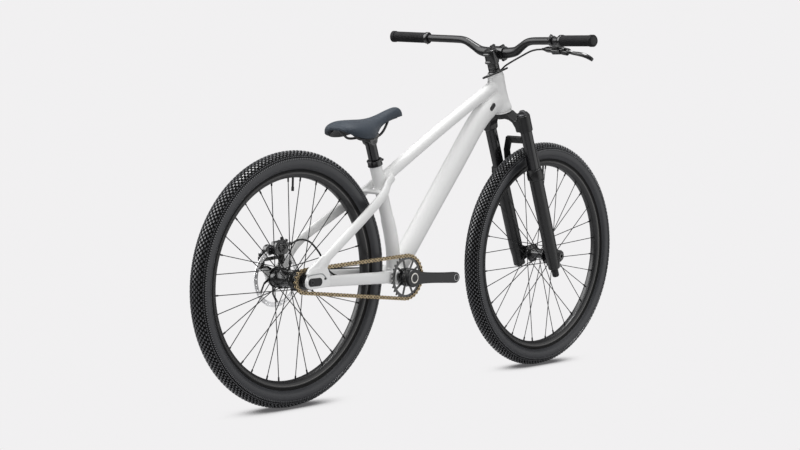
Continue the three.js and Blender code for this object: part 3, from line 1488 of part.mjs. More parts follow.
function spacersBody() {
  const base = headTubeLength + upperCupHeight + gap;
  const coneTop = base + coneHeight;
  return turnedUpright([
    [steererRadius + gap, base], [coneRadius, base], [spacerRadius, coneTop],
    [spacerRadius, coneTop + spacerStack - gap * 2], [steererRadius + gap, coneTop + spacerStack - gap * 2],
  ], roundSides);
}

const stemLow = headTubeLength + upperCupHeight + coneHeight + spacerStack;
const stemMiddle = stemLow + stemHeight / 2;

// The stem grips the steerer behind and holds half of the handlebar's clamp in front
function stemBody() {
  const low = stemLow + gap;
  const high = stemLow + stemHeight - gap;
  const clamp = rod(at(0, 0, low), at(0, 0, high), stemClampRadius, roundSides);
  const neck = block(stemReach, stemClampWidth, stemHeight * 0.8, at(stemReach / 2, 0, stemMiddle));
  const cradle = rod(at(stemReach, -barClampWidth / 2, stemMiddle), at(stemReach, barClampWidth / 2, stemMiddle), barClampRadius, roundSides);
  const front = block(barClampRadius * 2, barClampWidth * 2, barClampRadius * 4, at(stemReach + barClampRadius - faceplateGap / 2, 0, stemMiddle));
  const steererHole = rod(at(0, 0, low - cutRun), at(0, 0, high + cutRun), steererRadius + gap, roundSides);
  const barHole = rod(at(stemReach, -barClampWidth, stemMiddle), at(stemReach, barClampWidth, stemMiddle), barClampedRadius + weldGap, roundSides);
  const bolts = [-1, 1].map((side) => {
    const height = stemMiddle + side * stemBoltOffset;
    return rod(at(-stemClampRadius, -stemBoltRadius * 2, height), at(-stemClampRadius, stemBoltRadius * 2, height), stemBoltRadius, 8);
  });
  return cut(join(clamp, neck, cradle, ...bolts), steererHole, front, barHole);
}

function faceplateBody() {
  const shell = rod(at(stemReach, -barClampWidth / 2, stemMiddle), at(stemReach, barClampWidth / 2, stemMiddle), barClampRadius, roundSides);
  const behind = block(barClampRadius * 4, barClampWidth * 2, barClampRadius * 4, at(stemReach - barClampRadius * 2 + faceplateGap / 2, 0, stemMiddle));
  const barHole = rod(at(stemReach, -barClampWidth, stemMiddle), at(stemReach, barClampWidth, stemMiddle), barClampedRadius + weldGap, roundSides);
  const window = block(barClampRadius * 4, barClampWidth / 3, barClampRadius * 0.8, at(stemReach + barClampRadius, 0, stemMiddle));
  const bolts = [];
  for (const side of [-1, 1]) {
    for (const height of [-1, 1]) {
      const place = at(stemReach + faceplateGap / 2, side * (barClampWidth / 2 - faceplateBoltInset), stemMiddle + height * barClampRadius * 0.97);
      bolts.push(rod(place, place.clone().add(at(barClampRadius * 0.6, 0, 0)), faceplateBoltRadius, 8));
    }
  }
  return cut(join(cut(shell, window), ...bolts), behind, barHole);
}

function topCapBody() {
  const base = stemLow + stemHeight;
  const plug = steererRadius - steererWall - gap;
  return turnedUpright([
    [0, base - topCapHeight * 3], [plug, base - topCapHeight * 3], [plug, base], [topCapRadius, base],
    [topCapRadius, base + topCapHeight * 0.6], [topCapRadius * 0.85, base + topCapHeight],
    [topCapBoltRadius, base + topCapHeight], [topCapBoltRadius, base + topCapHeight + topCapBoltHeight],
    [0, base + topCapHeight + topCapBoltHeight],
  ], roundSides);
}

// The handlebar's centre line in the steering frame, at a distance from the mid plane
const barBend = (side) => at(stemReach + barBendForward, side * barBendHalf, stemMiddle + barRise);
const barTip = (side) => at(stemReach + barBendForward - barTipBack, side * barLength / 2, stemMiddle + barRise + barTipRise);

function barPlace(distance) {
  const side = Math.sign(distance);
  const share = (Math.abs(distance) - barBendHalf) / (barLength / 2 - barBendHalf);
  return barBend(side).lerp(barTip(side), share);
}

function handlebarBody() {
  const station = (place, radius) => ({ at: place, wide: radius * 2, deep: radius * 2 });
  const ramp = (side, share, lift) => at(stemReach + barBendForward * share, side * between(barRampStart, barRampEnd, share), stemMiddle + barRise * lift);
  const half = (side) => [
    station(at(stemReach, side * barFlatHalf, stemMiddle), barClampedRadius),
    station(ramp(side, 0.25, 0.14), between(barClampedRadius, barRadius, 0.4)),
    station(ramp(side, 0.5, 0.46), between(barClampedRadius, barRadius, 0.8)),
    station(ramp(side, 0.78, 0.83), barRadius),
    station(ramp(side, 1, 0.97), barRadius),
    station(barPlace(side * barBendHalf * 1.1), barRadius),
    station(barTip(side), barRadius),
  ];
  return hollowTube([...half(-1).reverse(), ...half(1)], barWall, barSides, at(0, 0, 1));
}

// A grip with a lock collar at its inner end and a closed outer end
function gripBody(side) {
  const tip = barLength / 2;
  const inner = tip - gripLength;
  const along = barTip(side).sub(barBend(side)).normalize();
  const end = barTip(side);
  const place = (distance) => end.clone().addScaledVector(along, distance - tip);
  const sleeveBody = rod(place(inner), place(tip + gripEndThickness), gripRadius, gripSides);
  const collar = rod(place(inner), place(inner + gripCollarLength), gripFlangeRadius, gripSides);
  const flange = rod(place(tip), place(tip + gripEndThickness), gripFlangeRadius, gripSides);
  const bore = rod(place(inner - cutRun), place(tip + gap), barRadius + 2 * runningGap, barSides);
  return cut(join(sleeveBody, collar, flange), bore);
}

// The brake lever's own frame in the steering frame: X away from the handlebar, Y towards the grip's end, Z its hinge line
const leverFrame = () => {
  const group = new THREE.Group();
  const origin = barPlace(-leverClampPlace);
  const away = at(Math.cos(rad(leverDip)), 0, -Math.sin(rad(leverDip)));
  const outboard = at(0, -1, 0);
  const hinge = away.clone().cross(outboard).normalize();
  group.position.copy(origin);
  group.quaternion.setFromRotationMatrix(new THREE.Matrix4().makeBasis(away, outboard, hinge));
  return group;
};

// A place on the handlebar's centre line, in the brake lever's frame
function barFromLever(distance) {
  const frame = leverFrame();
  return barPlace(distance).sub(frame.position).applyQuaternion(frame.quaternion.clone().invert());
}

function masterBody() {
  const cylinder = rod(at(masterReach, -masterInner + masterNoseLength, 0), at(masterReach + cutRun, masterOuter, 0), masterRadius, 10);
  const nose = rod(at(masterReach, -masterInner, 0), at(masterReach, -masterInner + masterNoseLength, 0), masterNoseRadius, 10, masterRadius * 0.8);
  const near = leverClampPlace - leverClampWidth / 2;
  const band = rod(barFromLever(-near), barFromLever(-near - leverClampWidth), leverClampRadius, 12);
  const bridge = block(masterReach, leverClampWidth, leverClampRadius, at(masterReach / 2, 0, 0));
  const barHole = rod(barFromLever(-near + leverClampWidth), barFromLever(-near - leverClampWidth * 2), barRadius + runningGap, 12);
  const ears = [-1, 1].map((side) => {
    const height = side * (leverBossHeight / 2 + gap + leverEarThickness / 2);
    const low = height - leverEarThickness / 2;
    const ear = rod(at(leverPivotReach, leverPivotOut, low), at(leverPivotReach, leverPivotOut, low + leverEarThickness), leverEarRadius, 8);
    const arm = block(leverEarRadius * 2, leverPivotOut - masterOuter + leverEarRadius, leverEarThickness,
      at(leverPivotReach - leverEarRadius * 0.6, (leverPivotOut + masterOuter - leverEarRadius) / 2, height));
    return join(ear, arm);
  });
  const pinHole = rod(at(leverPivotReach, leverPivotOut, -leverPinLength), at(leverPivotReach, leverPivotOut, leverPinLength), leverPinRadius + gap, 8);
  return cut(join(cylinder, nose, band, bridge, ...ears), barHole, pinHole);
}

function leverBody() {
  const boss = rod(at(leverPivotReach, leverPivotOut, -leverBossHeight / 2), at(leverPivotReach, leverPivotOut, leverBossHeight / 2), leverEarRadius * 0.9, 12);
  const stations = leverShares.map((share, row) => ({
    at: at(leverPivotReach + leverSweep * leverSweepShares[row], leverPivotOut + share * leverLength, 0),
    wide: between(leverBossHeight, leverWidth, Math.min(share * 2, 1)),
    deep: leverThickness,
  }));
  const tip = stations[stations.length - 1].at;
  stations.push({ at: tip.clone().add(at(leverHook, leverHook, 0)), wide: leverWidth, deep: leverThickness });
  const blade = solidTube(stations, 8, at(0, 0, 1));
  const pinHole = rod(at(leverPivotReach, leverPivotOut, -leverPinLength), at(leverPivotReach, leverPivotOut, leverPinLength), leverPinRadius + gap, 8);
  return cut(join(boss, blade), pinHole);
}

const leverPinBody = () => rod(at(leverPivotReach, leverPivotOut, -leverPinLength / 2), at(leverPivotReach, leverPivotOut, leverPinLength / 2), leverPinRadius, 8);

// Caliper in the rear axle's frame, over the top of the rotor; its ears stand on the left stay's posts
function caliperBody() {
  const lean = rad(caliperTilt);
  const low = rotorRadius - caliperDrop + gap * 3;
  const half = caliperLength / 2;
  const shape = outline([
    [-half, low], [half, low], [half, low + caliperBridge], [half / 2, rotorRadius + caliperRise],
    [-half / 2, rotorRadius + caliperRise], [-half, low + caliperBridge],
  ].map(([along, height]) => [along * Math.cos(lean), height + along * Math.sin(lean)]));
  const right = rotorOffset - caliperWidth / 2;
  const left = rotorOffset + caliperWidth / 2;
  const body = plateAcross(shape, right, left);
  const slotHalf = rotorThickness / 2 + padGap + padThickness + padTravel + gap;
  const slotTop = rotorRadius + runningGap * 4 + gap;
  const slot = block(padLength + 2 * gap, 2 * slotHalf, rotorRadius, at(0, rotorOffset, slotTop - rotorRadius / 2));
  const disc = sleeve(rotorRadius / 2, rotorRadius + runningGap * 3, rotorOffset - rotorThickness, rotorOffset + rotorThickness);
  const ears = [0, 1].map((share) => {
    const foot = brakeMountPlace(share).add(at(0, 0, gap));
    const seat = rod(foot, foot.clone().add(at(0, 0, caliperEarThickness)), brakePostRadius + gap, 10);
    const bolt = rod(foot, foot.clone().add(at(0, 0, caliperEarThickness + caliperBoltHeadHeight)), caliperBoltHeadRadius, 8);
    return join(seat, bolt);
  });
  return join(cut(body, slot, turnedAcross(disc, rotorSegments)), ...ears);
}

// A brake pad on one side of the rotor: -1 towards the wheel, 1 away from it
function padBody(side) {
  const middle = rotorOffset + side * (rotorThickness / 2 + padGap + padThickness / 2);
  return block(padLength, padThickness, padDepth, at(0, middle, rotorRadius - padDepth / 2));
}

// Assembly

const bike = new THREE.Group();

function wheelGroup(axle) {
  const group = new THREE.Group();
  group.position.copy(axle);
  bike.add(group);
  return group;
}

function addWheel(group, end, hub) {
  addPiece(group, `${end}_tyre`, tyreBody(), rubber);
  addPiece(group, `${end}_inner_tube`, innerTubeBody(), butyl);
  addPiece(group, `${end}_rim`, rimBody(), blackSatin);
  addPiece(group, `${end}_hub_spokes`, hub, spokeSteel);
}

function addRearWheel() {
  const group = wheelGroup(rearAxle);
  addWheel(group, 'rear', rearHubBody());
  addPiece(group, 'rear_axle', rearAxleBody(), blackMetal);
  addPiece(group, 'rear_rotor', rotorBody(), steel);
  addPiece(group, 'rear_cog', cogBody(), steel);
  addPiece(group, 'brake_caliper', caliperBody(), blackMetal);
  addPiece(group, 'brake_pad_inner', padBody(-1), padMetal);
  addPiece(group, 'brake_pad_outer', padBody(1), padMetal);
}

function addFrame() {
  addPiece(bike, 'top_tube', topTubeBody(), framePaint);
  addPiece(bike, 'down_tube', downTubeBody(), framePaint);
  addPiece(bike, 'seat_tube', seatTubeBody(), framePaint);
  addPiece(bike, 'chainstay_right', chainstayBody(-1), framePaint);
  addPiece(bike, 'chainstay_left', chainstayBody(1), framePaint);
  addPiece(bike, 'seatstay_right', seatstayBody(-1), framePaint);
  addPiece(bike, 'seatstay_left', seatstayBody(1), framePaint);
  addPiece(bike, 'seatstay_bridge', bridgeBody(), framePaint);
  addPiece(bike, 'dropout_insert', insertBody(), darkPlastic);
  addPiece(bike, 'cable_port_plug', portPlugBody(), darkPlastic);
}

function insertBody() {
  const hole = rod(rearAxle.clone().setY(-dropoutOuter - cutRun), rearAxle.clone().setY(-dropoutInner), rearAxleRadius / 2, 6);
  return cut(insertPrism(0), hole);
}

function addBracket() {
  const group = new THREE.Group();
  group.position.copy(bracket);
  bike.add(group);
  addPiece(group, 'bb_shell', bracketShellCut(), framePaint);
  addPiece(group, 'bottom_bracket', bottomBracketBody(), blackMetal);
  addPiece(group, 'chainring', chainringBody(), blackMetal);
  addPiece(group, 'crank_right', crankRightBody(), blackSatin);
  addPiece(group, 'crank_left', crankLeftBody(), blackSatin);
}

function addSeat() {
  const group = new THREE.Group();
  group.position.copy(seatTop);
  group.rotation.y = -seatTilt;
  bike.add(group);
  addPiece(group, 'seat_collar', collarBody(), blackMetal);
  addPiece(group, 'seatpost', seatpostBody(), blackSatin);
  const saddle = new THREE.Group();
  saddle.rotation.y = seatTilt - rad(saddleTilt);
  saddle.position.set(0, 0, seatpostExposed);
  group.add(saddle);
  const shell = new THREE.Group();
  shell.position.set(-saddleBack, 0, saddleRise);
  saddle.add(shell);
  addPiece(shell, 'saddle_cover', saddleCoverBody(), saddleVinyl);
  addPiece(shell, 'saddle_base', saddleBaseBody(), darkPlastic);
  addPiece(shell, 'saddle_rails', railsBody(), steel);
  addPiece(saddle, 'rail_clamp', clampBody(), blackMetal);
}

function addSteering() {
  const group = new THREE.Group();
  group.position.copy(headBase);
  group.rotation.y = -headTilt;
  bike.add(group);
  addPiece(group, 'head_tube', headTubeBody(), framePaint);
  addPiece(group, 'headset_cup_lower', cupBody(0), blackMetal);
  addPiece(group, 'headset_cup_upper', cupBody(1), blackMetal);
  addPiece(group, 'headset_spacers', spacersBody(), blackMetal);
  addPiece(group, 'stem', stemBody(), blackMetal);
  addPiece(group, 'stem_faceplate', faceplateBody(), blackMetal);
  addPiece(group, 'top_cap', topCapBody(), blackMetal);
  addPiece(group, 'handlebar', handlebarBody(), blackSatin);
  addPiece(group, 'grip_right', gripBody(-1), gripRubber);
  addPiece(group, 'grip_left', gripBody(1), gripRubber);
  addLever(group);
  addFork(group);
}

function addLever(group) {
  const frame = leverFrame();
  group.add(frame);
  addPiece(frame, 'brake_master', masterBody(), blackMetal);
  addPiece(frame, 'brake_lever', leverBody(), blackSatin);
  addPiece(frame, 'lever_pin', leverPinBody(), steel);
}

function addFork(steering) {
  const group = new THREE.Group();
  steering.add(group);
  addPiece(group, 'fork_crown', crownBody(), blackMetal);
  const names = { '-1': 'right', 1: 'left' };
  for (const side of [-1, 1]) {
    const leg = new THREE.Group();
    leg.position.set(crownOffset, side * legSpread, 0);
    group.add(leg);
    addPiece(leg, `stanchion_${names[side]}`, stanchionBody(), blackMetal);
    addPiece(leg, `leg_cap_${names[side]}`, legCapBody(), blackMetal);
    addPiece(leg, side < 0 ? 'damper_rod' : 'air_rod', forkRodBody(), steel);
    if (side < 0) addPiece(leg, 'rebound_knob', reboundKnobBody(), darkPlastic);
  }
  addPiece(group, 'fork_lowers', lowersBody(), blackMetal);
  const axle = new THREE.Group();
  axle.position.set(forkOffset, 0, -forkLength);
  group.add(axle);
  addPiece(axle, 'front_axle', frontAxleBody(), blackMetal);
}

addRearWheel();
addFrame();
addBracket();
addSeat();
addSteering();
addWheel(wheelGroup(frontAxle), 'front', frontHubBody());
addPiece(bike, 'chain', chainBody(), chainSteel);
addPiece(bike, 'brake_hose', hoseBody(), darkPlastic);

export default bike;
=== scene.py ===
import math

import bmesh
import bpy
import numpy as np
from mathutils import Matrix, Vector


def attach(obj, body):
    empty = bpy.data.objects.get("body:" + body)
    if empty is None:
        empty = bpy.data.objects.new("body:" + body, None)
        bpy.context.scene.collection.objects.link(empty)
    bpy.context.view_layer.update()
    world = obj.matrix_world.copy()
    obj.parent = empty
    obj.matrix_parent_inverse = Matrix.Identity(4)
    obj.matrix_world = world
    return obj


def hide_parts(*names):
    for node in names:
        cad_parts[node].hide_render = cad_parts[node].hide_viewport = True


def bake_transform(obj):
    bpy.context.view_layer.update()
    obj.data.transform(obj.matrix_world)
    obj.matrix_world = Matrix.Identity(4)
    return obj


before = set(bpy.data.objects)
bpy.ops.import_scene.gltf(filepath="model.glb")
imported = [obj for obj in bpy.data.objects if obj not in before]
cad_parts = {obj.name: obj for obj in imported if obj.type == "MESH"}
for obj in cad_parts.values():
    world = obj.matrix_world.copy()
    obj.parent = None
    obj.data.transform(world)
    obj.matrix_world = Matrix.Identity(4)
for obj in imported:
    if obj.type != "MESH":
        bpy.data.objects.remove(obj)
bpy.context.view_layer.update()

# The pieces' lengths are millimetres in the row frame, and MM turns them into metres
MM = 0.001
TAU = 2 * math.pi

# The radius at which a turned profile closes on its axis
POINT = 0.01


# Places shared by several pieces

HEAD_TILT = math.radians(21)
SEAT_TILT = math.radians(19.8)
SADDLE_TILT = math.radians(8)
REAR = np.array([-535.0, 0.0, 344.0])
FRONT = np.array([535.0, 0.0, 344.0])
BRACKET = np.array([-133.0, 0.0, 326.0])
HEAD_BASE = np.array([329.92, 0.0, 788.96])
SEAT_TOP = np.array([-222.91, 0.0, 653.17])
POST_SHOWN = 59.0
CRANK_DIP = math.radians(3.4)
LEVER_DIP = math.radians(63.4)
SIDES = ((-1, "right"), (1, "left"))


def tilted(origin, angle):
    """A frame at origin, leaning back by angle about the Y axis."""
    turn = np.eye(4)
    turn[0, 0], turn[0, 2] = math.cos(angle), -math.sin(angle)
    turn[2, 0], turn[2, 2] = math.sin(angle), math.cos(angle)
    turn[:3, 3] = origin
    return turn


def moved(origin):
    """A frame at origin, level."""
    place = np.eye(4)
    place[:3, 3] = origin
    return place


# Frames of the pieces: X forward, Y left, Z up, or up along the head tube or the seat tube
LEVEL = np.eye(4)
STEER = tilted(HEAD_BASE, HEAD_TILT)
SEAT = tilted(SEAT_TOP, SEAT_TILT)
SADDLE = tilted((SEAT @ np.array([0, 0, POST_SHOWN, 1]))[:3], SADDLE_TILT)


def head_place(forward, side, height):
    """A place on the head tube in the row frame."""
    return (STEER @ np.array([forward, side, height, 1.0]))[:3]


def seat_place(forward, side, height):
    """A place by the seat tube's top in the row frame."""
    return (SEAT @ np.array([forward, side, height, 1.0]))[:3]


# Outlines

def polar(radius, angle):
    """A place on a circle."""
    return radius * math.cos(angle), radius * math.sin(angle)


def mirrored(points, first=1, second=1):
    """The points in reverse order, with each number times its factor."""
    return [(first * a, second * b) for a, b in reversed(points)]


def circle(centre, radius, sides=32, start=0.0, span=TAU):
    """A circle, or an arc with both its ends."""
    full = abs(span - TAU) < 1e-6
    count = sides if full else sides + 1
    return [(centre[0] + radius * math.cos(start + span * i / sides),
             centre[1] + radius * math.sin(start + span * i / sides)) for i in range(count)]


def rounded_box(centre, wide, high, corner, turn=0.0, steps=6):
    """An outline of a rectangle with round corners, turned about its centre."""
    points = []
    for quarter, (a, b) in enumerate(((1, 1), (-1, 1), (-1, -1), (1, -1))):
        for step in range(steps + 1):
            across, over = polar(corner, math.pi / 2 * (quarter + step / steps))
            x = a * (wide / 2 - corner) + across
            z = b * (high / 2 - corner) + over
            points.append((centre[0] + x * math.cos(turn) - z * math.sin(turn),
                           centre[1] + x * math.sin(turn) + z * math.cos(turn)))
    return points


def smooth_rows(rows, steps=8):
    """Rows of numbers as a finer list on a smooth curve through them."""
    rows = np.asarray(rows, float)
    padded = np.vstack([2 * rows[0] - rows[1], rows, 2 * rows[-1] - rows[-2]])
    fine = []
    for row in range(len(rows) - 1):
        a, b, c, d = padded[row:row + 4]
        for step in range(steps):
            t = step / steps
            fine.append(0.5 * (2 * b + (c - a) * t + (2 * a - 5 * b + 4 * c - d) * t**2
                               + (3 * b - a - 3 * c + d) * t**3))
    fine.append(rows[-1])
    return np.array(fine)


# Bodies: a Shape collects vertices and faces in millimetres

class Shape:
    """Bodies of one piece, added in its own frame or in one given with them."""

    def __init__(self, place=LEVEL):
        self.place = place
        self.verts = []
        self.faces = []

    def add(self, part, place=None):
        verts, faces = part
        place = self.place if place is None else place
        verts = np.asarray(verts, float) @ place[:3, :3].T + place[:3, 3]
        first = len(self.verts)
        self.verts.extend(map(tuple, verts))
        self.faces.extend(tuple(i + first for i in face) for face in faces)
        return self


def loft(rings):
    """A skin through rings with the same number of points, closed at both ends."""
    count = len(rings[0])
    verts = [point for ring in rings for point in ring]
    faces = []
    for ring in range(len(rings) - 1):
        here, there = ring * count, (ring + 1) * count
        for side in range(count):
            across = (side + 1) % count
            faces.append((here + side, here + across, there + across, there + side))
    faces.append(tuple(range(count))[::-1])
    faces.append(tuple((len(rings) - 1) * count + i for i in range(count)))
    return verts, faces


def turned(profile, segments=48, axis="y"):
    """A body turned about an axis from rows of radius and place along it."""
    rings = []
    for step in range(segments):
        angle = TAU * step / segments
        c, s = math.cos(angle), math.sin(angle)
        if axis == "y":
            rings.append([(r * s, h, r * c) for r, h in profile])
        else:
            rings.append([(r * c, r * s, h) for r, h in profile])
    count = len(profile)
    verts = [point for ring in rings for point in ring]
    faces = []
    for step in range(segments):
        here, there = step * count, ((step + 1) % segments) * count
        for row in range(count):
            after = (row + 1) % count
            faces.append((here + row, here + after, there + after, there + row))
    return verts, faces


def sweep(path, sizes, sides=16, reference=(0, 1, 0), power=2.0):
    """A tube along a path; a size is a radius or a pair of half sizes, across the reference and over it."""
    path = np.asarray(path, float)
    reference = np.asarray(reference, float)
    rings = []
    for row, place in enumerate(path):
        along = path[min(row + 1, len(path) - 1)] - path[max(row - 1, 0)]
        along /= np.linalg.norm(along)
        across = reference - along * reference.dot(along)
        across /= np.linalg.norm(across)
        over = np.cross(along, across)
        size = sizes if np.isscalar(sizes) else sizes[row]
        wide, deep = (size, size) if np.isscalar(size) else size
        ring = []
        for side in range(sides):
            c, s = polar(1, TAU * side / sides)
            a = math.copysign(abs(c) ** (2 / power), c) * wide
            b = math.copysign(abs(s) ** (2 / power), s) * deep
            ring.append(place + across * a + over * b)
        rings.append(ring)
    return loft(rings)


def rod(start, end, radius, sides=16):
    """A straight round bar between two places."""
    start, end = np.asarray(start, float), np.asarray(end, float)
    along = end - start
    reference = (0, 1, 0) if abs(along[1]) < 0.9 * np.linalg.norm(along) else (1, 0, 0)
    return sweep([start, end], radius, sides, reference)


def box(centre, size, turn=0.0, axis="y"):
    corners = []
    for x in (-0.5, 0.5):
        for y in (-0.5, 0.5):
            for z in (-0.5, 0.5):
                corners.append(np.array([x * size[0], y * size[1], z * size[2]]))
    spin = np.array(Matrix.Rotation(turn, 3, axis.upper()))
    verts = [spin @ corner + np.asarray(centre, float) for corner in corners]
    faces = [(0, 1, 3, 2), (4, 6, 7, 5), (0, 4, 5, 1), (2, 3, 7, 6), (0, 2, 6, 4), (1, 5, 7, 3)]
    return verts, faces


def plate(points, low, high, axis="y"):
    """A flat outline given thickness; points are X and Z for axis y, Y and Z for x, X and Y for z."""
    def lay(a, b, h):
        return {"y": (a, h, b), "x": (h, a, b), "z": (a, b, h)}[axis]
    return loft([[lay(a, b, low) for a, b in points], [lay(a, b, high) for a, b in points]])


def cut_plate(outlines, low, high, edge=0.15):
    """A flat piece with holes: the first closed outline is its edge, and the others are cut out of it."""
    curve = bpy.data.curves.new("cut", "CURVE")
    curve.dimensions = "2D"
    curve.fill_mode = "BOTH"
    thick = abs(high - low) / 2
    curve.extrude = (thick - edge) * MM
    curve.bevel_depth = edge * MM
    curve.bevel_resolution = 0
    for points in outlines:
        line = curve.splines.new("POLY")
        line.points.add(len(points) - 1)
        for slot, (a, b) in zip(line.points, points):
            slot.co = (a * MM, b * MM, 0, 1)
        line.use_cyclic_u = True
    holder = linked("cut", curve)
    mesh = bpy.data.meshes.new_from_object(holder)
    middle = (low + high) / 2
    verts = [(v.co.x / MM, middle - v.co.z / MM, v.co.y / MM) for v in mesh.vertices]
    faces = [tuple(p.vertices) for p in mesh.polygons]
    bpy.data.objects.remove(holder)
    bpy.data.meshes.remove(mesh)
    bpy.data.curves.remove(curve)
    return verts, faces


def screw_head(place, direction, radius, height, sides=16):
    """A round bolt head with a hollow hexagon in it."""
    direction = np.asarray(direction, float)
    direction /= np.linalg.norm(direction)
    helper = np.array([0, 1, 0]) if abs(direction[1]) < 0.9 else np.array([1, 0, 0])
    a = np.cross(direction, helper)
    a /= np.linalg.norm(a)
    b = np.cross(direction, a)
    place = np.asarray(place, float)
    rows = [(radius, 0), (radius, height * 0.75), (radius * 0.85, height), (radius * 0.52, height),
            (radius * 0.5, height * 0.35), (POINT, height * 0.35)]
    rings = []
    for r, h in rows:
        ring = []
        for c, s in circle((0, 0), 1, sides):
            ring.append(place + direction * h + a * r * c + b * r * s)
        rings.append(ring)
    return loft(rings)


# Pieces: a shape becomes an object that rides on a body and stands for nodes of the solids

def linked(name, data):
    """A new object of the scene that shows the data."""
    made = bpy.data.objects.new(name, data)
    bpy.context.collection.objects.link(made)
    return made


def mesh_of(name, shape):
    """A mesh of the shape in metres."""
    mesh = bpy.data.meshes.new(name)
    mesh.from_pydata([Vector(v) * MM for v in shape.verts], [], shape.faces)
    return mesh


def stand(name, shape, material, body, nodes=(), bevel=0.0, angle=35, segments=2):
    """A finished piece, with sharp edges above the angle in degrees and bevelled ones where asked for."""
    mesh = mesh_of(name, shape)
    mesh.validate()
    work = bmesh.new()
    work.from_mesh(mesh)
    bmesh.ops.remove_doubles(work, verts=work.verts, dist=2e-6)
    bmesh.ops.dissolve_degenerate(work, edges=work.edges, dist=1e-7)
    bmesh.ops.recalc_face_normals(work, faces=work.faces)
    work.to_mesh(mesh)
    work.free()
    mesh.shade_smooth()
    mesh.set_sharp_from_angle(angle=math.radians(angle))
    piece = linked(name, mesh)
    mesh.materials.append(material)
    if bevel:
        edge = piece.modifiers.new("edge", "BEVEL")
        edge.width = bevel * MM
        edge.segments = segments
        edge.limit_method = "ANGLE"
        edge.angle_limit = math.radians(angle)
        edge.harden_normals = True
    return settle(piece, body, nodes)


def settle(piece, body, nodes):
    if body:
        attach(piece, body)
    if nodes:
        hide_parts(*nodes)
    return piece


def bake(piece):
    """The piece's modifiers become its mesh."""
    depsgraph = bpy.context.evaluated_depsgraph_get()
    fresh = bpy.data.meshes.new_from_object(piece.evaluated_get(depsgraph), depsgraph=depsgraph)
    old = piece.data
    piece.modifiers.clear()
    piece.data = fresh
    fresh.name = old.name
    return piece


def blended(name, shape, material, voxel, rounds):
    """A piece whose bodies run into each other with soft corners."""
    piece = stand(name, shape, material, None, angle=180)
    skin = piece.modifiers.new("skin", "REMESH")
    skin.mode = "VOXEL"
    skin.voxel_size = voxel * MM
    skin.use_smooth_shade = True
    soft = piece.modifiers.new("soft", "SMOOTH")
    soft.factor = 0.5
    soft.iterations = rounds
    bake(piece)
    piece.data.shade_smooth()
    return piece


# Shader nodes

def feed(tree, target, values):
    """Fills a node's inputs, each with a value or with another node's output."""
    for key, value in values.items():
        if isinstance(value, bpy.types.NodeSocket):
            tree.links.new(value, target.inputs[key])
        else:
            target.inputs[key].default_value = value


def node(tree, kind, values=None, **settings):
    """A new shader node with its settings and inputs."""
    made = tree.nodes.new("ShaderNode" + kind)
    for name, value in settings.items():
        setattr(made, name, value)
    feed(tree, made, values or {})
    return made


def ramp(tree, value, start, end, first, last):
    """A smooth change from first to last while the value goes from start to end."""
    made = node(tree, "MapRange", {"Value": value, "From Min": start, "From Max": end, "To Min": first,
                                   "To Max": last}, interpolation_type="SMOOTHSTEP")
    return made.outputs["Result"]


def noise(tree, place, scale, detail):
    """An uneven pattern from 0 to 1."""
    made = node(tree, "TexNoise", {"Scale": scale, "Detail": detail, "Vector": place})
    return made.outputs["Fac"]


# Materials

GRAIN_DEPTH = 0.0004


def material(name, color, roughness=0.5, metallic=0.0, coat=0.0, coat_roughness=0.1, specular=0.5,
             grain=0.0, grain_scale=900.0, mottle=0.0, mottle_scale=30.0, sheen=0.0, glow=0.0):
    """A procedural surface: a base colour with an uneven roughness and a fine grain, and a glow of painted
    light where one is asked for.
    """
    made = bpy.data.materials.new(name)
    made.use_nodes = True
    tree = made.node_tree
    place = node(tree, "TexCoord").outputs["Object"]
    spread = node(tree, "MapRange", {"Value": noise(tree, place, mottle_scale, 4),
                                     "To Min": max(roughness - 0.04 - mottle, 0.02),
                                     "To Max": min(roughness + 0.04 + mottle, 1)})
    shader = tree.nodes["Principled BSDF"]
    shader.inputs["Roughness"].default_value = roughness
    feed(tree, shader, {"Base Color": (*color, 1), "Metallic": metallic, "Specular IOR Level": specular,
                        "Coat Weight": coat, "Coat Roughness": coat_roughness, "Sheen Weight": sheen,
                        "Emission Color": (1, 1, 1, 1), "Emission Strength": glow,
                        "Roughness": spread.outputs["Result"]})
    if grain:
        fine = noise(tree, place, grain_scale, 2)
        bump = node(tree, "Bump", {"Strength": grain, "Distance": GRAIN_DEPTH, "Height": fine})
        feed(tree, shader, {"Normal": bump.outputs["Normal"]})
    return made


# The frame paint glows faintly: painted light that lifts its shaded sides.
PAINT = material("frame_paint", (0.79, 0.79, 0.785), 0.42, coat=0.12, coat_roughness=0.3, mottle=0.02,
                 specular=0.35, glow=0.02)
# A grey for a rod along the dropout's pressed line: painted shade under its lip.
CREASE_SHADE = material("crease_painted_shade", (0.30, 0.31, 0.31), 0.6, specular=0.2)
# The tread blocks are lighter than the sidewall rubber: painted light, as if their tops catch the light.
TYRE = material("tyre_rubber_lit", (0.056, 0.057, 0.062), 0.34, grain=0.1, grain_scale=1500, specular=1.0)
# Near-black for the rubber between the tread blocks: painted shade.
TREAD_SHADE = material("tread_bed_shade", (0.004, 0.004, 0.004), 0.8, specular=0.1)
SIDEWALL = material("sidewall_rubber", (0.022, 0.023, 0.027), 0.42, grain=0.12, grain_scale=1200,
                    specular=0.6)
BUTYL = material("butyl", (0.02, 0.02, 0.02), 0.7)
RIM = material("rim_black", (0.012, 0.012, 0.013), 0.34, specular=0.6)
# Black for a ring in the gap between rim and tyre: painted shade.
RIM_GAP_SHADE = material("rim_gap_shade", (0.005, 0.005, 0.005), 0.6, specular=0.2)
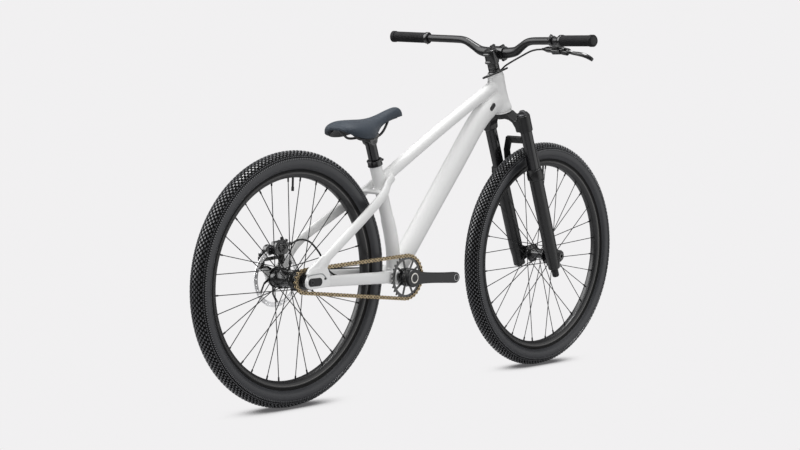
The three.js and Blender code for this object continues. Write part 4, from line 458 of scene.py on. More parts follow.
# A bright metal for a thin ring on the rim's side: painted highlight.
RIM_GLINT = material("rim_glint", (0.16, 0.155, 0.15), 0.28, metallic=0.8)
SPOKE = material("spoke_black", (0.008, 0.008, 0.009), 0.45, specular=0.3)
ALLOY = material("black_alloy", (0.006, 0.006, 0.0065), 0.22, coat=0.5, coat_roughness=0.1, specular=0.6)
SATIN = material("black_satin", (0.010, 0.010, 0.011), 0.32, coat=0.1, coat_roughness=0.15, specular=0.4,
                 grain=0.05)
GLOSS = material("black_gloss", (0.005, 0.005, 0.006), 0.2, specular=0.5, coat=0.3, coat_roughness=0.08)
MATTE = material("black_matte", (0.007, 0.007, 0.0075), 0.34, specular=0.6, grain=0.08)
CALIPER = material("caliper_black", (0.018, 0.018, 0.019), 0.24, coat=0.5, coat_roughness=0.08,
                   specular=0.7)
CAP_GREY = material("cap_grey", (0.10, 0.10, 0.105), 0.3, metallic=0.8)
STEEL = material("bright_steel", (0.86, 0.86, 0.87), 0.38, metallic=0.9, mottle=0.05, mottle_scale=120)
DARK_STEEL = material("dark_steel", (0.05, 0.05, 0.052), 0.35, metallic=0.7)
CHAIN = material("chain_bronze", (0.44, 0.345, 0.21), 0.34, metallic=0.6, mottle=0.1, mottle_scale=200)
# A dark colour for the pins and rollers, and for strips between the plates that stand for shade: partly
# painted shade.
CHAIN_DARK_AND_SHADE = material("chain_dark_and_shade", (0.030, 0.024, 0.016), 0.5, specular=0.3)
COG = material("cog_steel", (0.22, 0.185, 0.15), 0.45, metallic=0.6, mottle=0.08)
COG_RING = material("ring_bright", (0.66, 0.64, 0.60), 0.25, metallic=1.0)
# A pale thread that glows: painted light that makes the shaded pedal hole read bright.
THREAD_GLOW = material("thread_pale_glow", (0.80, 0.80, 0.80), 0.5, specular=0.4, glow=0.5)
PAD = material("pad_metal", (0.30, 0.20, 0.12), 0.6, metallic=0.5)
GRIP = material("grip_rubber", (0.010, 0.010, 0.011), 0.65, specular=0.22, grain=0.4, grain_scale=1800)
SADDLE_SKIN = material("saddle_skin", (0.020, 0.030, 0.044), 0.6, specular=0.4, grain=0.4,
                       grain_scale=2200, sheen=0.1)
PLASTIC = material("black_plastic", (0.008, 0.008, 0.009), 0.45, specular=0.4)
HOSE = material("hose_black", (0.006, 0.006, 0.007), 0.4, specular=0.4)


# Tyres

TYRE_CENTRE = 314.5

# Tread blocks by column: degrees from the middle, width, length, reach and blocks per step
TREAD_COLUMNS = [(0, 4.6, 7.4, 29.4, 1), (12, 4.2, 7.0, 29.4, 1), (24, 4.2, 6.8, 29.4, 1),
                 (36, 4.2, 6.4, 29.3, 1), (48, 4.0, 6.0, 29.2, 1), (59, 3.6, 4.0, 29.1, 2),
                 (72, 4.8, 4.2, 29.0, 2)]
TREAD_STEPS = 160
BLOCK_FOOT = 26.9
BLOCK_FACES = [(0, 1, 5, 4), (1, 2, 6, 5), (2, 3, 7, 6), (3, 0, 4, 7), (4, 5, 6, 7)]


def tyre_arc(reach, first, last, steps):
    """Rows of a profile round the middle of the tyre's section, between two angles in degrees."""
    rows = []
    for step in range(steps + 1):
        a, b = polar(reach, math.radians(first + (last - first) * step / steps))
        rows.append((TYRE_CENTRE + a, b))
    return rows


def tyre_carcass():
    """Profile of the tyre under its tread, from bead to bead and back inside."""
    bead = [(285, 12.2), (290.5, 12.4), (292.6, 14.6), (294.5, 18.2)]
    outside = tyre_arc(27.2, 126, -126, 30)
    line = tyre_arc(27.7, 126, -126, 30)
    for row in (2, 28):
        outside[row] = line[row]
    inside = tyre_arc(23.5, -125, 125, 12)
    return bead + outside + mirrored(bead, second=-1) + [(285, -9)] + inside + [(285, 9)]


def tread_bed_shade():
    """Profile of a dark skin of painted shade over the carcass between the blocks."""
    return tyre_arc(27.4, 77, -77, 18) + tyre_arc(27.0, -77, 77, 18)


def tread_block(across, around, wide, long, reach):
    """The corners of one block, wider at its foot than at its top."""
    radius = TYRE_CENTRE + reach * math.cos(across)
    corners = []
    for level, shrink in ((BLOCK_FOOT, 1.10), (reach, 0.84)):
        for a, b in ((-1, -1), (1, -1), (1, 1), (-1, 1)):
            lean = across + a * wide * 0.5 * shrink / reach
            turn = around + b * long * 0.5 * shrink / radius
            r = TYRE_CENTRE + level * math.cos(lean)
            corners.append((r * math.sin(turn), level * math.sin(lean), r * math.cos(turn)))
    return corners


def tread_blocks():
    """Small blocks in rows, every other row half a step on, and fine lugs along the edges."""
    verts, faces = [], []
    for index, (degrees, wide, long, reach, share) in enumerate(TREAD_COLUMNS):
        for side in ((1,) if degrees == 0 else (1, -1)):
            for step in range(TREAD_STEPS * share):
                turn = TAU * (step + 0.5 * (index % 2)) / (TREAD_STEPS * share)
                faces += [tuple(len(verts) + i for i in face) for face in BLOCK_FACES]
                verts += tread_block(math.radians(side * degrees), turn, wide, long, reach)
    return verts, faces


# Rims, hubs and spokes

SPOKES = 32
SPOKE_CIRCLE = 25
NIPPLE_CIRCLE = 271.8
FRONT_FLANGES = (-29, 29)
REAR_FLANGES = (-21, 34.5)


def rim_profile():
    """The hollow side of the rim and its bed under the tyre."""
    half = [(290.6, 12.6), (291.4, 13.8), (290.6, 15.0), (284, 15.2), (279, 13.4), (274.6, 10.2),
            (272.6, 7.4), (271.8, 4)]
    bed = [(284.6, -12.4), (282, -6), (282, 6), (284.6, 12.4)]
    return half + [(271.6, 0)] + mirrored(half, second=-1) + bed


def rim_rings():
    """Profiles of the rim's black rings of painted shade in the gap to the tyre, and of the thin bright
    rings of painted highlight inside them, right and left.
    """
    side = [(287.2, 14.8), (287.2, 15.4), (291, 15.5), (293.6, 17.9), (294.4, 18.7), (293.8, 17.4),
            (290.4, 14.6)]
    edge = [(283.0, 14.9), (283.4, 15.4), (284.5, 15.7), (284.8, 15.2), (284.0, 14.6)]
    return [[[(radius, way * place) for radius, place in rows] for way in (-1, 1)] for rows in (side, edge)]


def spoke_lines(flanges, turn):
    """Ends of every spoke: its head at the flange and its nipple at the rim."""
    lines = []
    pitch = TAU / SPOKES
    for spoke in range(SPOKES):
        flange = flanges[(spoke + 1) % 2]
        leading = -1 if (spoke // 2) % 2 else 1
        rim_angle = (spoke + 0.5) * pitch + math.radians(turn)
        z, x = polar(SPOKE_CIRCLE, rim_angle + leading * 6 * pitch)
        head = np.array((x, flange + leading * 1.9, z))
        z, x = polar(NIPPLE_CIRCLE, rim_angle)
        lines.append((head, np.array((x, math.copysign(4, flange), z))))
    return lines


def add_spokes(name, flanges, turn, place, body):
    """Every spoke with its nipple, and its head through the flange."""
    spokes = Shape(place)
    for head, nipple in spoke_lines(flanges, turn):
        along = (nipple - head) / np.linalg.norm(nipple - head)
        spokes.add(rod(head, nipple, 1.25, 6))
        spokes.add(rod(nipple - along * 10, nipple + along * 2, 2.3, 8))
        flat = np.array([0, math.copysign(1, head[1]), 0])
        spokes.add(rod(head - flat * 2.6, head + flat * 2.6, 1.6, 6))
    stand(name, spokes, SPOKE, body)


def hub_flange(place, shell):
    """A thin round disc on a hub's shell, at a place along the axle."""
    rows = [(shell, -6), (25.5, -2.3), (28.5, -0.85), (28.5, 0.85), (25.5, 2.3), (shell, 6)]
    return [(radius, place + along) for radius, along in rows]


def front_hub():
    rows = [(8.2, -49.8), (11, -49.8), (11.5, -42), (16, -40), (17, -36)]
    right, left = (hub_flange(place, 17) for place in FRONT_FLANGES)
    rows += right + [(15.5, -14), (15, 0), (15.5, 14)] + left
    rows += [(20, 38), (20, 42), (12, 43), (11, 49.8), (8.2, 49.8)]
    return turned(rows, 64)


def rear_hub():
    right, left = REAR_FLANGES
    rows = [(6.8, -30), (20, -30), (21, -27)] + hub_flange(right, 22) + [(20.5, 0), (20.5, 14)]
    rows += hub_flange(left, 23) + [(25, 50), (25, 54.8), (21, 55), (21, 58.5), (17, 59.5), (12, 59.7),
                                    (11, 65.4), (6.8, 65.4)]
    return turned(rows, 64)


def tube_and_valve(place):
    """The inner tube, its valve and the valve's cap."""
    tube = circle((TYRE_CENTRE, 0), 14, 12)
    both = Shape(place).add(turned(tube, 96))
    both.add(rod((0, 0, 238), (0, 0, 300), 3, 12))
    return both.add(rod((0, 0, 236), (0, 0, 247), 3.9, 12))


def add_wheel(end, axle, hub, flanges, turn):
    body = f"{end}_wheel"
    place = moved(axle)
    stand(f"{end}_tyre_carcass", Shape(place).add(turned(tyre_carcass(), 180)), SIDEWALL, body,
          [f"{end}_tyre"], angle=40)
    # A near-black skin between the blocks: painted shade.
    stand(f"{end}_tread_bed_shade", Shape(place).add(turned(tread_bed_shade(), 180)), TREAD_SHADE, body,
          angle=40)
    stand(f"{end}_tread", Shape(place).add(tread_blocks()), TYRE, body, angle=25)
    stand(f"{end}_rim_hoop", Shape(place).add(turned(rim_profile(), 160)), RIM, body, [f"{end}_rim"],
          angle=50)
    # A black ring of painted shade by the tyre and a thin bright ring of painted highlight on the rim.
    for name, rings, surface in zip(("side", "edge"), rim_rings(), (RIM_GAP_SHADE, RIM_GLINT)):
        ring = Shape(place)
        for rows in rings:
            ring.add(turned(rows, 160))
        stand(f"{end}_rim_{name}", ring, surface, body, angle=40)
    stand(f"{end}_tube_valve", tube_and_valve(place), BUTYL, body, [f"{end}_inner_tube"])
    stand(f"{end}_hub", Shape(place).add(hub), ALLOY, body, [f"{end}_hub_spokes"], angle=40)
    add_spokes(f"{end}_spokes", flanges, turn, place, body)


# Rotor and cog

def rotor_track():
    """The braking ring with its row of holes."""
    outlines = [circle((0, 0), 80, 120), circle((0, 0), 68, 90)]
    for hole in range(30):
        outlines.append(circle(polar(74, TAU * hole / 30), 2.1, 10))
    return outlines


def rotor_arm(arm):
    """One of the slanted arms from the hub to the braking ring."""
    foot = TAU * arm / 6
    tip = foot + 0.62
    waist = (foot + tip) / 2
    corners = [(22, foot - 0.17), (46, waist - 0.075), (69.5, tip - 0.06), (69.5, tip + 0.06),
               (46, waist + 0.06), (22, foot + 0.17)]
    return [polar(radius, angle) for radius, angle in corners]


def add_rotor():
    place = moved(REAR)
    rotor = Shape(place).add(cut_plate(rotor_track(), 55.1, 56.9))
    stand("rotor_disc", rotor, STEEL, "rear_wheel", ["rear_rotor"], angle=30)
    spider = Shape(place)
    for arm in range(6):
        spider.add(plate(rotor_arm(arm), 55.2, 56.8))
    spider.add(turned([(12, 55), (28, 55), (28, 57), (24, 57.2), (24, 59), (20, 60.5), (12, 60.5)]))
    stand("rotor_spider", spider, ALLOY, "rear_wheel", angle=30)


CHAIN_PITCH = 12.7
COG_TEETH = 15
RING_TEETH = 30


def pitch_radius(teeth):
    """The circle of the chain's pins on a wheel."""
    return CHAIN_PITCH / (2 * math.sin(math.pi / teeth))


def toothed(teeth, root=3.6, tip=2.9):
    """The outline of a wheel with pointed teeth for the chain."""
    radius = pitch_radius(teeth)
    rows = [(-0.5, -root), (-0.30, -root * 0.72), (-0.17, 0.4), (-0.07, tip), (0.07, tip), (0.17, 0.4),
            (0.30, -root * 0.72)]
    points = []
    for tooth in range(teeth):
        for share, lift in rows:
            points.append(polar(radius + lift, TAU * (tooth + share) / teeth))
    return points


def add_cog():
    place = moved(REAR)
    cog = Shape(place).add(cut_plate([toothed(COG_TEETH), circle((0, 0), 15.5, 30)], -53.2, -50.8))
    stand("cog_teeth", cog, COG, "driver", ["rear_cog"], angle=30)
    drum = [(6.8, -65.4), (14, -65.4), (17, -63), (17, -56), (22, -55.6), (22, -53.6), (18, -53.4),
            (18, -50.6), (22, -50.4), (22, -47), (18.5, -46.6), (18.5, -31), (6.8, -31)]
    stand("cog_carrier", Shape(place).add(turned(drum)), ALLOY, "driver", angle=30)


# Chain

CHAINLINE = -52


def chain_path():
    """The chain's pitch line as evenly spaced places, two for each pair of links."""
    ring, cog = pitch_radius(RING_TEETH), pitch_radius(COG_TEETH)
    span = BRACKET - REAR
    rise = math.atan2(span[2], span[0])
    lean = math.asin((ring - cog) / math.hypot(span[0], span[2]))
    top, bottom = rise + math.pi / 2 + lean, rise - math.pi / 2 - lean
    line = circle((BRACKET[0], BRACKET[2]), ring, 199, bottom, top - bottom)
    line += circle((REAR[0], REAR[2]), cog, 199, top, bottom + TAU - top)
    line = np.array(line + line[:1])
    runs = np.linalg.norm(np.diff(line, axis=0), axis=1)
    whole = np.concatenate([[0], np.cumsum(runs)])
    links = 2 * round(whole[-1] / CHAIN_PITCH / 2)
    marks = np.arange(links) * whole[-1] / links
    return np.stack([np.interp(marks, whole, line[:, 0]), np.interp(marks, whole, line[:, 1])], axis=1)


def link_outline(a, b, radius, waist=1.9):
    """Two upright ovals round the pins, joined by a narrow waist."""
    along = (b - a) / np.linalg.norm(b - a)
    side = np.array([-along[1], along[0]])
    points = []
    for pin, start, way in ((b, -108, 1), (a, 72, -1)):
        for i in range(9):
            angle = math.radians(start + 216 * i / 8)
            points.append(pin + along * radius * 0.72 * math.cos(angle) + side * radius * math.sin(angle))
        points.append((a + b) / 2 + side * waist * way)
    return [tuple(point) for point in points]


def add_link(plates, a, b, near, radius):
    """The two side plates of one link, each a millimetre thick."""
    for side in (-1, 1):
        edges = sorted((CHAINLINE + side * near, CHAINLINE + side * (near + 1.0)))
        plates.add(plate(link_outline(a, b, radius), *edges))


def add_link_middle(pins, a, b):
    """Dark strips of painted shade between a link's plates, its pin's heads and, away from the cog, its
    roller.
    """
    length = np.linalg.norm(b - a)
    middle = moved(((a[0] + b[0]) / 2, CHAINLINE, (a[1] + b[1]) / 2))
    turn = tilted((0, 0, 0), math.atan2(b[1] - a[1], b[0] - a[0]))
    for side in (-1, 1):
        pins.add(box((0, side * 1.62, 0), (length, 0.2, 8.6)), middle @ turn)
    at_pin = moved((a[0], CHAINLINE, a[1]))
    for low, high in ((-4.9, -3.8), (3.8, 4.9)):
        pins.add(turned([(POINT, low), (2.1, low), (2.1, high), (POINT, high)], 10), at_pin)
    if math.dist(a, (REAR[0], REAR[2])) > 45:
        pins.add(turned([(1.6, -1.7), (4.2, -1.7), (4.2, 1.7), (1.6, 1.7)], 12), at_pin)


def add_chain():
    path = chain_path()
    outer_plates, inner_plates, pins = Shape(), Shape(), Shape()
    for row, a in enumerate(path):
        b = path[(row + 1) % len(path)]
        if row % 2:
            add_link(outer_plates, a, b, near=2.9, radius=5.2)
        else:
            add_link(inner_plates, a, b, near=1.75, radius=5.5)
        add_link_middle(pins, a, b)
    stand("chain_outer", outer_plates, CHAIN, "frame", ["chain"], angle=40)
    stand("chain_inner", inner_plates, CHAIN, "frame", angle=40)
    # Pins, rollers and the strips of painted shade between the plates.
    stand("chain_rollers_and_shade", pins, CHAIN_DARK_AND_SHADE, "frame", angle=40)


# Crankset

CRANK_LENGTH = 170
CRANK_BOSS = 26.3


def ring_windows():
    """Windows between the four pairs of thin arms."""
    arms = []
    for middle, spread in ((46, 15), (126, 18), (235, 19), (315, 16)):
        arms += [middle - spread, middle + spread]
    windows = []
    for start, end in zip(arms, arms[1:] + [arms[0] + 360]):
        start, end = math.radians(start), math.radians(end)
        low, high = 3.0 / 27, 2.6 / 50
        window = circle((0, 0), 26.5, 8, start + low, end - start - 2 * low)
        window += circle((0, 0), 50.5, 8, end - high, start - end + 2 * high)
        windows.append(window)
    return windows


def crank_outline():
    """The arm's outline along its own line, from the boss to the pedal end."""
    top = [(0, CRANK_BOSS), (14, CRANK_BOSS * 0.86), (30, 17.6), (60, 15.2), (100, 14.6), (140, 14.9),
           (158, 15.4)]
    points = [(x, z) for x, z in smooth_rows(top, 5)]
    quarter = math.pi / 2
    end = [(CRANK_LENGTH - 1.5 + 17 * math.cos(a), 15.4 * math.sin(a))
           for a in np.linspace(quarter, -quarter, 15)]
    boss = [polar(CRANK_BOSS, a) for a in np.linspace(-quarter, -3 * quarter, 17)]
    return points + end + mirrored(points, second=-1) + boss[1:-1]


def crank_place(side):
    """Crank frame: X along the arm, Y outward."""
    c, s = math.cos(CRANK_DIP), math.sin(CRANK_DIP)
    place = np.eye(4)
    place[:3, 0] = np.array([c, 0, -s]) * -side
    place[:3, 1] = (0, side, 0)
    place[:3, 2] = np.array([s, 0, c])
    place[:3, 3] = BRACKET
    return place


def crank_body():
    """The arm: its face steps out towards the pedal, and its boss goes in to the ring."""
    outline = crank_outline()
    rings = []
    for inset, level in ((1.6, 1.0), (0, 0.86), (0, 0.14), (1.6, 0)):
        ring = []
        for x, z in outline:
            share = min(max((x - 22) / 120, 0), 1)
            face = 81.5 + 8.5 * (share * share * (3 - 2 * share))
            back = face - (15 - 2 * share)
            centre = min(max(x, 0), CRANK_LENGTH)
            size = math.hypot(x - centre, z)
            scale = (size - inset) / size
            ring.append((centre + (x - centre) * scale, back + (face - back) * level, z * scale))
        rings.append(ring)
    return loft(rings)


def bore_pedal_hole(piece, place):
    """A real hole through the arm at the pedal's place."""
    tool = Shape(place).add(rod((CRANK_LENGTH, 60, 0), (CRANK_LENGTH, 110, 0), 7.25, 32))
    cutter = linked("tool", mesh_of("tool", tool))
    bore = piece.modifiers.new("bore", "BOOLEAN")
    bore.operation = "DIFFERENCE"
    bore.solver = "EXACT"
    bore.object = cutter
    bake(piece)
    bpy.data.objects.remove(cutter)


def add_crank_arms():
    boss = [(12.6, 49.7), (18.4, 49.7), (18.6, 64), (24, 67), (CRANK_BOSS, 70), (CRANK_BOSS, 74),
            (12.6, 74)]
    thread = [(7.2, 77.5), (9.0, 90.25), (9.3, 90.25), (9.3, 76.5), (7.2, 76.5)]
    for side, name in SIDES:
        place = crank_place(side)
        arm = Shape(place).add(crank_body()).add(turned(boss))
        piece = stand(f"crank_arm_{name}", arm, SATIN, "crankset", [f"crank_{name}"],
                      angle=40)
        bore_pedal_hole(piece, place)
        # The pedal hole's thread glows as painted light.
        hole = Shape(place @ moved((CRANK_LENGTH, 0, 0))).add(turned(thread, 32))
        stand(f"pedal_thread_{name}", hole, THREAD_GLOW, "crankset", angle=40)


def add_spindle():
    """The bright ring and the splined end in the right arm, the spindle, and the left arm's cap."""
    right = crank_place(-1)
    ring = Shape(right)
    ring.add(turned([(11, 81.0), (15, 81.0), (15, 83.0), (14, 83.5), (11.6, 83.5), (11, 83.0)]))
    stand("spindle_ring", ring, COG_RING, "crankset", angle=40)
    spindle = Shape(right)
    spindle.add(turned([(POINT, 79), (11, 79), (11, 81.6), (9, 81.6), (8.4, 80), (POINT, 80)], 32))
    for tooth in range(10):
        angle = TAU * tooth / 10
        x, z = polar(9.2, angle)
        spindle.add(box((x, 81.2, z), (2.2, 1.6, 1.6), -angle))
    spindle.add(rod((0, -70, 0), (0, 70, 0), 11.8, 24), moved(BRACKET))
    stand("spindle", spindle, ALLOY, "crankset", angle=40)
    cap = Shape(crank_place(1))
    cap.add(turned([(POINT, 81.2), (13, 81.2), (13, 82.6), (11, 83.2), (POINT, 83.2)], 32))
    stand("crank_cap_left", cap, ALLOY, "crankset", angle=40)


def add_chainring():
    place = moved(BRACKET)
    outlines = [toothed(RING_TEETH), circle((0, 0), 18.2, 40)] + ring_windows()
    ring = Shape(place).add(cut_plate(outlines, -53.3, -50.7, 0.3))
    stand("chainring_plate", ring, ALLOY, "crankset", ["chainring"], angle=30)
    mount = [(18.3, -64), (22, -64), (23.5, -60), (24.5, -54.5), (24.5, -53.2), (18.3, -53.2)]
    stand("chainring_mount", Shape(place).add(turned(mount)), ALLOY, "crankset", angle=30)


# Frame: tubes as stations of place, width and depth

def tube_along(stations, sides, power, reference=(0, 1, 0)):
    """A tube on smooth curves through its stations."""
    rows = smooth_rows([[*place, wide / 2, deep / 2] for place, wide, deep in stations], 10)
    return sweep(rows[:, :3], [(row[3], row[4]) for row in rows], sides, reference, power)


def down_tube():
    """From the bottom bracket straight to a bend below the head tube."""
    bend = BRACKET + np.array([341, 0, 422])
    head = head_place(0, 0, 38)
    neck = (bend + head) / 2
    neck[2] = bend[2] + (head[2] - bend[2]) * 0.62
    stations = [(BRACKET + (bend - BRACKET) * share, wide, deep)
                for share, wide, deep in ((0, 44, 58), (0.42, 46, 58), (0.75, 46, 63), (1, 46, 63))]
    return stations + [(neck, 46, 63), (head, 42, 60)]


def top_tube():
    """A shallow bow from the seat tube to the head tube."""
    rear, head = seat_place(0, 0, -65), head_place(0, 0, 85.5)
    middle = (rear + head) / 2 + np.array([0, 0, 4])
    return [(rear, 31, 33), (middle, 31, 33), (head, 31, 33)]


def seat_tube():
    """Steep above the bottom bracket, with a knee, and straight to the seat collar."""
    knee = BRACKET + np.array([-29, 0, 158])
    low = BRACKET + np.array([-3, 0, 60])
    shin = low + (knee - low) * 0.55 + np.array([3, 0, 0])
    above = knee + (SEAT_TOP - knee) * 0.14
    return [(BRACKET, 39, 39), (low, 39, 39), (shin, 39, 39), (knee, 38, 38), (above, 35, 35),
            (SEAT_TOP, 35, 35)]


def chainstay(side):
    """Straight back to the dropout, spreading with the tyre's width."""
    stations = []
    for share, spread, wide in ((0.037, 24, 20), (0.235, 43, 14), (0.56, 55, 14), (0.9, 72, 13)):
        place = BRACKET + (REAR - BRACKET) * share
        place[1] = side * spread
        stations.append((place, wide, 36 + (29 - 36) * share))
    return stations


def seatstay(side):
    """From the top tube past the seat tube and the tyre to the dropout; the left one ends lower."""
    low = 51.5 if side < 0 else 32.5
    rows = [((373, 16, 262), 12, 25), ((343, 27, 246), 12, 25), ((306, 41, 213), 15, 28),
            ((212, 59, 157), 15, 29), ((100.6, 74, 90.9), 15, 28), ((48.5, 75, low), 12, 26),
            ((25.4, 74.5, 16.8), 10, 23)]
    return [(REAR + np.array([x, side * y, z]), wide, deep) for (x, y, z), wide, deep in rows]


def bridge():
    """The short tube between the seatstays, behind the seat tube."""
    middle = seat_place(0, 0, -94) + np.array([-30, 0, 0])
    return [(middle + np.array([0, side, drop]), 24, 13)
            for side, drop in ((-38, -3.2), (-19, 0), (19, 0), (38, -3.2))]


def from_axle(points):
    """The points forward of and above the rear axle, in the row frame."""
    return [(REAR[0] + a, REAR[2] + b) for a, b in points]


def dropout_points(side):
    """The outline of the plate round the rear axle; on the left it carries the brake's mounts."""
    axle = (REAR[0], REAR[2])
    points = from_axle([(70, -15), (70, 15)])
    if side > 0:
        points += from_axle([(43.5, 38), (30.5, 38), (0, 19), (-30.5, 38), (-43.5, 38), (-19, 0)])
        return points + circle(axle, 19, 12, math.pi, math.pi / 2)
    points += from_axle([(60.8, 32.3), (47.5, 39.9), (3.8, 34.2), (-8.9, 26)])
    return points + circle(axle, 19, 20, 0.76 * math.pi, 0.74 * math.pi)


def stay_foot():
    """The outline where the right seatstay spreads into its dropout."""
    return from_axle([(10, 8), (52, 26), (70, 50), (64, 74), (39.4, 67), (17, 51), (-5.8, 36.9), (-15, 22)])


def frame_shape():
    shape = Shape()
    for stations, power in ((down_tube(), 2.35), (top_tube(), 2.5), (seat_tube(), 2.0)):
        shape.add(tube_along(stations, 48, power))
    for side in (-1, 1):
        for stations, power in ((chainstay(side), 2.6), (seatstay(side), 2.4)):
            shape.add(tube_along(stations, 40, power))
        low, high = (71, 80) if side > 0 else (-80, -71)
        shape.add(plate(dropout_points(side), low, high))
    shape.add(plate(stay_foot(), -79, -69))
    shape.add(tube_along(bridge(), 32, 2.3, (1, 0, 0)))
    shell = [(POINT, -36.5), (25.5, -36.5), (25.5, 36.5), (POINT, 36.5)]
    shape.add(turned(shell, 64), moved(BRACKET))
    head = [(POINT, 0), (28, 0), (28, 9), (25, 26), (23.6, 54), (24.2, 92), (25, 100), (25, 111),
            (POINT, 111)]
    return shape.add(turned(head, 64, "z"), STEER)


def add_frame():
    piece = blended("frame_skin", frame_shape(), PAINT, voxel=1.7, rounds=7)
    settle(piece, "frame", ["top_tube", "down_tube", "seat_tube", "chainstay_right", "chainstay_left",
                            "seatstay_right", "seatstay_left", "seatstay_bridge", "bb_shell", "head_tube"])


def add_dropout_details():
    """A grey rod of painted shade under the pressed line's lip, the oval insert, the axle's nut and the
    small bolt on the right dropout.
    """
    crease = [(-549.3, 359.9), (-545, 363), (-539, 364), (-520, 365), (-501.9, 365.4), (-491.6, 361.4),
              (-479.3, 349.7)]
    # A grey rod along the pressed line: painted shade under its lip.
    line = Shape().add(sweep(smooth_rows([(x, -80.2, z) for x, z in crease], 5), 1.5, 10))
    stand("dropout_crease_shade", line, CREASE_SHADE, "frame", angle=60)
    middle = (-522, REAR[2])
    insert = Shape()
    insert.add(plate(rounded_box(middle, 51, 22, 10.5), -80.9, -77.5))
    insert.add(plate(rounded_box(middle, 45, 16, 7.8), -81.5, -80.5))
    stand("dropout_oval", insert, PLASTIC, "frame", ["dropout_insert"], bevel=0.5)
    nut = [(3.4, -81.3), (6.8, -81.3), (7.2, -82.2), (6.2, -82.8), (3.6, -82.8), (3.4, -81.8)]
    stand("axle_nut", Shape(moved(REAR)).add(turned(nut, 32)), DARK_STEEL, "frame", angle=30)
    small = Shape(moved((-485.4, 0, 351.1)))
    small.add(turned([(POINT, -79), (3.4, -79), (3.4, -80.6), (2.6, -80.9), (POINT, -80.9)], 20))
    stand("dropout_bolt", small, PLASTIC, "frame")


def add_port_plug():
    port = Shape().add(plate(rounded_box((255.5, 798.4), 27, 13, 5.5, math.radians(46)), -24.4, -18))
    stand("port_plug", port, PLASTIC, "frame", ["cable_port_plug"], bevel=0.7)


def add_bracket_cups():
    cups = Shape(moved(BRACKET))
    for side in (-1, 1):
        rows = [(12.6, 36.8), (24.5, 36.8), (24.5, 43), (22.5, 44.8), (12.6, 44.8)]
        cups.add(turned([(radius, side * place) for radius, place in rows]))
    stand("bracket_cups", cups, ALLOY, "frame", ["bottom_bracket"], angle=30)


def add_rear_axle():
    axle = Shape(moved(REAR))
    axle.add(turned([(POINT, -77.2), (5.9, -77.2), (5.9, 80.3), (10.5, 80.3), (10.5, 83), (9.5, 84),
                     (5, 84), (5, 81.5), (POINT, 81.5)], 32))
    for low, high in ((-70.7, -65.7), (65.7, 70.7)):
        axle.add(turned([(6, low), (11, low), (11, high), (6, high)], 32))
    stand("rear_thru_axle", axle, ALLOY, "frame", ["rear_axle"], angle=30)


# Seatpost and its collar

def add_collar():
    collar = Shape(SEAT)
    collar.add(turned([(17.8, -15.6), (21.0, -15.6), (21.2, -13.5), (20.4, -11.5), (20.4, -2), (21.6, -1),
                       (21.6, 1.6), (20, 2.4), (15.8, 2.4), (15.8, 0.4), (17.8, 0.4)], 64, "z"))
    collar.add(rod((19, -9, -6), (19, 9, -6), 5.2, 20))
    collar.add(box((19, 0, -6.5), (9, 15, 10)))
    stand("post_collar", collar, ALLOY, "frame", ["seat_collar"], bevel=0.5)
    bolt = Shape(SEAT).add(screw_head((22.5, -9, -6), (0, -1, 0), 3.4, 2.4))
    stand("collar_bolt", bolt, DARK_STEEL, "frame")


def add_seatpost():
    rows = [(13, -130), (15.4, -130), (15.4, 45), (16.2, 50), (17, 54), (17, 57), (13, POST_SHOWN)]
    stand("post_tube", Shape(SEAT).add(turned(rows, 48, "z")), GLOSS, "seat", ["seatpost"],
          angle=40)


# Saddle: sections along its length as shares of length, half width, height and edge

SADDLE_LENGTH, SADDLE_HALF, SADDLE_HEIGHT = 262, 70, 66
SADDLE_BACK = SADDLE @ moved((-132, 0, 17))

SADDLE_SHARES = [0, 0.03, 0.1, 0.2, 0.32, 0.44, 0.56, 0.68, 0.8, 0.91, 0.97, 1]
SADDLE_WIDTHS = [0.42, 0.7, 0.9, 1, 0.93, 0.7, 0.47, 0.35, 0.3, 0.27, 0.2, 0.09]
SADDLE_CROWNS = [0.56, 0.72, 0.8, 0.78, 0.73, 0.68, 0.68, 0.75, 0.85, 0.9, 0.82, 0.6]
SADDLE_SKIRTS = [0.46, 0.32, 0.16, 0.04, 0, 0.1, 0.28, 0.4, 0.47, 0.5, 0.5, 0.52]


def saddle_rings(inset=0.0):
    """Rings from the tail to the nose: a domed top with a dent, and a hollow underside."""
    rows = smooth_rows(np.array([SADDLE_SHARES, SADDLE_WIDTHS, SADDLE_CROWNS, SADDLE_SKIRTS]).T, 5)
    rings = []
    for share, width, crown_share, skirt_share in rows:
        wide = max(SADDLE_HALF * width - inset, 2)
        crown = SADDLE_HEIGHT * crown_share - inset
        skirt = SADDLE_HEIGHT * skirt_share
        place = inset + (SADDLE_LENGTH - 2 * inset) * share
        dent_here = 2.2 * math.exp(-(((share - 0.42) / 0.3) ** 4))
        top, low = [], []
        for side in range(25):
            c, s = polar(1, math.pi * side / 24)
            dent = dent_here * math.exp(-((c * wide) / 9) ** 2)
            top.append((place, wide * c, skirt + (crown - skirt) * s ** 0.72 - dent))
        for side in range(1, 24):
            c, s = polar(1, math.pi + math.pi * side / 24)
            under = skirt + max(crown - skirt - 9, 0) * s ** 2
            low.append((place, wide * (1 - 9 * abs(s) / 280) * c, under))
        rings.append(top + low)
    return rings


def rail_points():
    side = [(30, 20, 30), (52, 21, 10), (70, 22, -3), (100, 22, -7), (137.3, 22, -7), (168, 17, 2),
            (196, 11, 25)]
    other = [(x, -y, z) for x, y, z in reversed(side)]
    return np.array(side + [(204, 0, 30)] + other, float)


def add_saddle_cover():
    cover = Shape(SADDLE_BACK).add(loft(saddle_rings()))
    piece = stand("saddle_top", cover, SADDLE_SKIN, "seat", ["saddle_cover"], angle=75)
    fine = piece.modifiers.new("fine", "SUBSURF")
    fine.levels = 1
    fine.render_levels = 1


